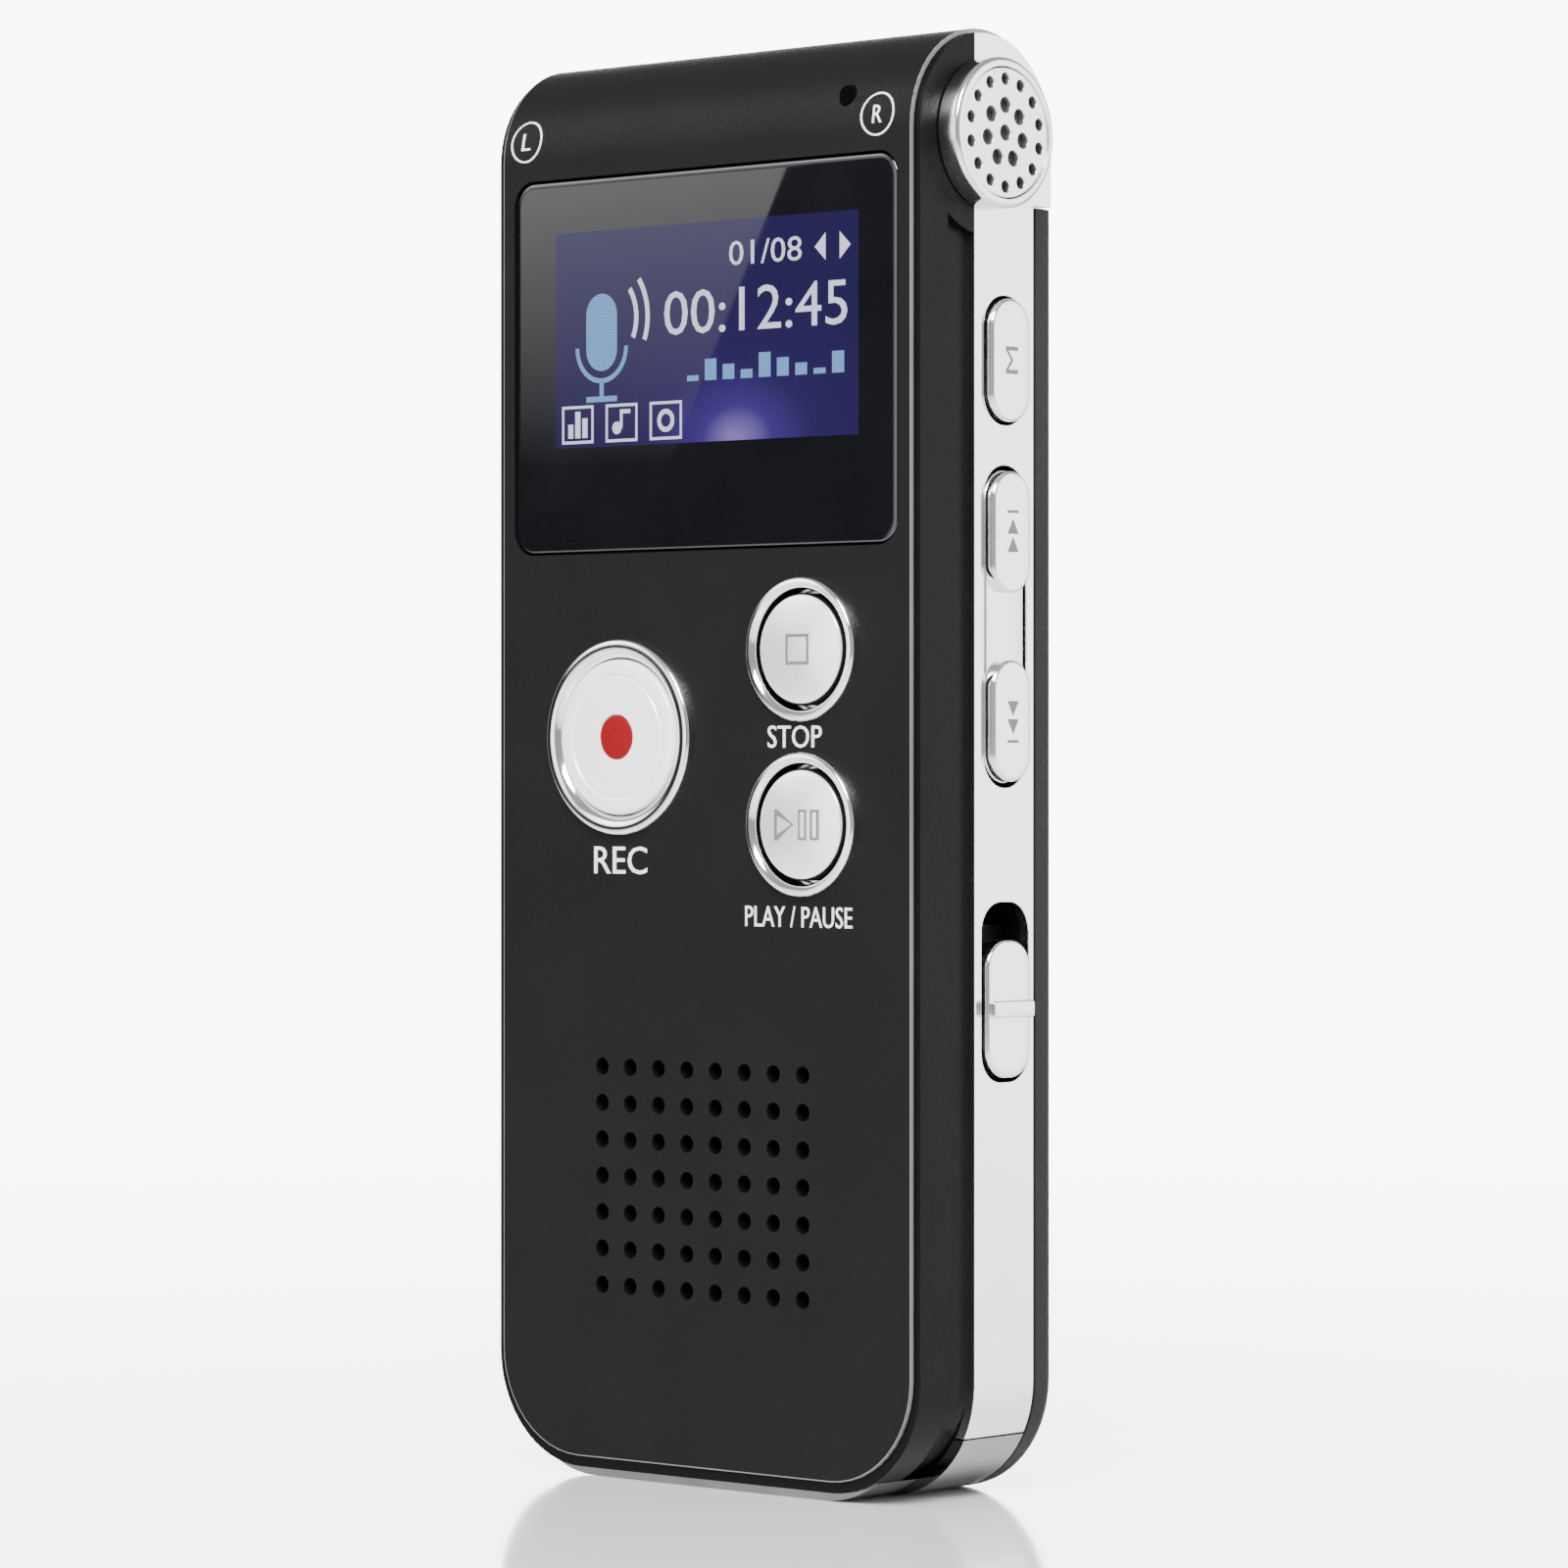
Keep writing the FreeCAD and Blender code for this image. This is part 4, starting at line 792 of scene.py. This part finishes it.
def rocker(node, body, place):
    """A low bar that carries a pad with its sign at each end."""
    low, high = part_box(node)
    v, half_v = (low[2] + high[2]) / 2, (high[2] - low[2]) / 2
    out = max(abs(low[0]), abs(high[0]))
    bed = out - 0.75 * MM
    levels = [(0, BAR_ROOT), (0, bed - 0.25 * MM)] + arc_levels(0, bed - 0.2 * MM, 0.2 * MM, 0, 85)
    outline = rounded(PAD_Y, v, PAD_HALF, half_v, PAD_CORNER)
    stack(node + "_bar", outline, levels, place, body, "pad", (node,))
    margin = 0.05 * MM
    for end in (1, -1):
        pad_v = v + end * (half_v - 4.3 * MM)
        top = [(margin, bed - 0.3 * MM), (margin, out - 0.32 * MM)] + pad_face(margin, out)
        name = "%s_%s" % (node, "upper" if end > 0 else "lower")
        outline = rounded(PAD_Y, pad_v, PAD_HALF, PAD_HALF_LENGTH, PAD_CORNER)
        stack(name, outline, top, place, body, "pad")
        side_sign(name + "_sign", place, PAD_Y, pad_v, end, out, body)


def hold_slide():
    """The slider's pad, and the ridge across it for the thumb."""
    low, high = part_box("hold_slider")
    u, v = (low[1] + high[1]) / 2, (low[2] + high[2]) / 2
    half_u, half_v = (high[1] - low[1]) / 2, (high[2] - low[2]) / 2
    face = high[0] - 0.5 * MM
    edge = 0.25 * MM
    levels = [(0, low[0]), (0, face - 0.3 * MM)] + arc_levels(0, face - edge, edge, 0,
                                                              85) + [(PAD_FLAT, face)]
    outline = rounded(u, v, half_u, half_v, 2.0 * MM)
    stack("hold_slider_pad", outline, levels, right, "hold_slide", "pad", ("hold_slider",))
    crest = high[0]
    edge = 0.15 * MM
    ridge = [(0, face - 0.2 * MM), (0, crest - 0.2 * MM)] + arc_levels(0, crest - edge, edge, 0, 85)
    outline = rounded(u, v, half_u - 0.1 * MM, 0.6 * MM, 0.25 * MM)
    stack("hold_slider_ridge", outline, ridge, right, "hold_slide", "pad")


def side_sign(name, place, u, v, end, out, body):
    """A bar and two arrowheads that point along the rocker, away from its middle."""
    half, step = 0.6 * MM, 1.25 * MM
    outlines = []
    for k in range(2):
        base = v + end * (k - 1.1) * step
        outlines.append([(u - half, base), (u + half, base), (u, base + end * step * 0.85)])
    tip = v + end * 1.05 * step
    outlines.append(bar(u - half, tip, u + half, tip + end * 0.2 * MM))
    flat_shape(name, outlines, place, out - 0.005 * MM, 0.015 * MM, body, "mark")


def microphone_cups():
    """Each chrome cup: a straight wall with a round rim, and a fine groove round the perforated face."""
    for name, place in (("right", right), ("left", left)):
        low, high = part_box("mic_cap_" + name)
        out = max(abs(low[0]), abs(high[0]))
        inn = min(abs(low[0]), abs(high[0]))
        v = (low[2] + high[2]) / 2
        radius = (high[2] - low[2]) / 2
        wall, rim = 2.2 * MM, 0.4 * MM
        levels = [(wall, inn), (0.12 * MM, inn), (0, inn + 0.1 * MM)]
        levels += arc_levels(0, out - rim, rim, 0, 90)
        shelf = inn + 0.5 * MM
        levels += [(0.62 * MM, out), (0.68 * MM, out - 0.12 * MM), (0.72 * MM, shelf), (wall, shelf)]
        stack("mic_cup_" + name, circle(0, v, radius), levels, place, "case", "cup",
              ("mic_cap_" + name,), ring=True)
        crisp(NODES["mic_grille_" + name], 0.06 * MM)


def side_letters():
    """The menu key's letter and the two dots of the A-B key."""
    menu_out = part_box("menu_button")[1][0]
    box = scaled(1.35, 77.6, 2.65, 79.5)
    sink, thick = 0.005 * MM, 0.015 * MM
    lettering("menu_sign", "M", right, box, menu_out - sink, thick, "menu_key", "mark", True)
    ab_out = -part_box("ab_button")[0][0]
    spots = [disc(*scaled(2.0, z, 0.55)) for z in (57.4, 59.6)]
    flat_shape("ab_sign", spots, left, ab_out - sink, thick, "ab_key", "mark")


# ---------- stage ----------

def floor():
    """A pale sheet that keeps the object's shadow and reflection, and fades into the studio around it."""
    size = 0.6
    corners = [(-size, -size, 0), (size, -size, 0), (size, size, 0), (-size, size, 0)]
    mesh = bpy.data.meshes.new("floor")
    mesh.from_pydata(corners, [], [(0, 1, 2, 3)])
    item = bpy.data.objects.new("floor", mesh)
    item.location.z = -0.02 * MM
    bpy.context.scene.collection.objects.link(item)
    material, tree, shader, place = blank("floor_sheet")
    tone = ramp(tree, noise(tree, place, 0.2, 2.0), ((0.88, 0.88, 0.88), (0.92, 0.92, 0.92)))
    tree.links.new(tone, shader.inputs["Base Color"])
    shader.inputs["Roughness"].default_value = 0.1
    reach = add_node(tree, "ShaderNodeVectorMath", operation="LENGTH")
    tree.links.new(place, reach.inputs[0])
    tree.links.new(between(tree, reach.outputs["Value"], 1.0, 0.0, 0.08, 0.5), shader.inputs["Alpha"])
    mesh.materials.append(material)


def area(name, place, target, size, power):
    lamp = bpy.data.lights.new(name, "AREA")
    lamp.shape = "RECTANGLE"
    lamp.size, lamp.size_y = size
    lamp.energy = power
    item = bpy.data.objects.new(name, lamp)
    item.location = place
    item.rotation_euler = (Vector(target) - Vector(place)).to_track_quat("-Z", "Y").to_euler()
    bpy.context.scene.collection.objects.link(item)


def window_card():
    """A card in front and to the left, brighter upwards, whose slanting edge shows in the window."""
    low_edge, high_edge = 0.098, 0.143
    dim, bright = 0.05, 1.9
    corners = [(-320, -376, 149), (-353, -376, 89), (-420, -376, 96), (-420, -376, 156)]
    mesh = bpy.data.meshes.new("window_card")
    mesh.from_pydata([scaled(*corner) for corner in corners], [], [(0, 1, 2, 3)])
    item = bpy.data.objects.new("window_card", mesh)
    bpy.context.scene.collection.objects.link(item)
    material, tree, shader, place = blank("card_light")
    shader.inputs["Base Color"].default_value = (0, 0, 0, 1)
    shader.inputs["Specular IOR Level"].default_value = 0.0
    shader.inputs["Emission Color"].default_value = (1, 1, 1, 1)
    fall = add_node(tree, "ShaderNodeSeparateXYZ")
    tree.links.new(place, fall.inputs["Vector"])
    glow = between(tree, fall.outputs["Z"], dim, bright, low_edge, high_edge)
    tree.links.new(glow, shader.inputs["Emission Strength"])
    mesh.materials.append(material)


def lobe(tree, direction, wall, reach, strength):
    """How bright a soft wall is in each direction: nothing below the first cosine, full above the second."""
    toward = add_node(tree, "ShaderNodeVectorMath", operation="DOT_PRODUCT")
    toward.inputs[1].default_value = Vector(wall).normalized()
    tree.links.new(direction, toward.inputs[0])
    return between(tree, toward.outputs["Value"], 0.0, strength, *reach)


def studio():
    """An even grey room with soft bright walls behind, on the right, in front and high in front on the left.

    The last one takes light away instead: a dark wall in front on the left.
    """
    world = bpy.data.worlds.new("studio")
    world.use_nodes = True
    tree = world.node_tree
    direction = add_node(tree, "ShaderNodeTexCoord").outputs["Generated"]
    total = add_node(tree, "ShaderNodeValue").outputs["Value"]
    total.default_value = ROOM
    for wall, reach, strength in SOFT_WALLS:
        both = add_node(tree, "ShaderNodeMath", operation="ADD", use_clamp=False)
        tree.links.new(total, both.inputs[0])
        tree.links.new(lobe(tree, direction, wall, reach, strength), both.inputs[1])
        total = both.outputs["Value"]
    background = tree.nodes["Background"]
    background.inputs["Color"].default_value = (1, 1, 1, 1)
    tree.links.new(total, background.inputs["Strength"])
    bpy.context.scene.world = world
    area("key", (0.28, -0.42, 0.5), (0, 0, 0.06), (0.3, 0.3), 13.0)


def camera():
    """Level, from 42 degrees to the right of the object's front."""
    data = bpy.data.cameras.new("camera")
    data.sensor_width = 36.0
    data.lens = 137.4
    data.shift_y = -0.00875
    data.clip_start = 0.01
    data.clip_end = 20.0
    item = bpy.data.objects.new("camera", data)
    item.location = (0.2848, -0.3149, 0.0503)
    turn = math.radians(42)
    item.rotation_euler = Vector((-math.sin(turn), math.cos(turn), 0)).to_track_quat("-Z", "Y").to_euler()
    bpy.context.scene.collection.objects.link(item)
    bpy.context.scene.camera = item


dress_nodes()
front_keys()
window()
plate_highlight_bead()
labels()
display_picture()
side_pads()
microphone_cups()
side_letters()
floor()
window_card()
studio()
camera()
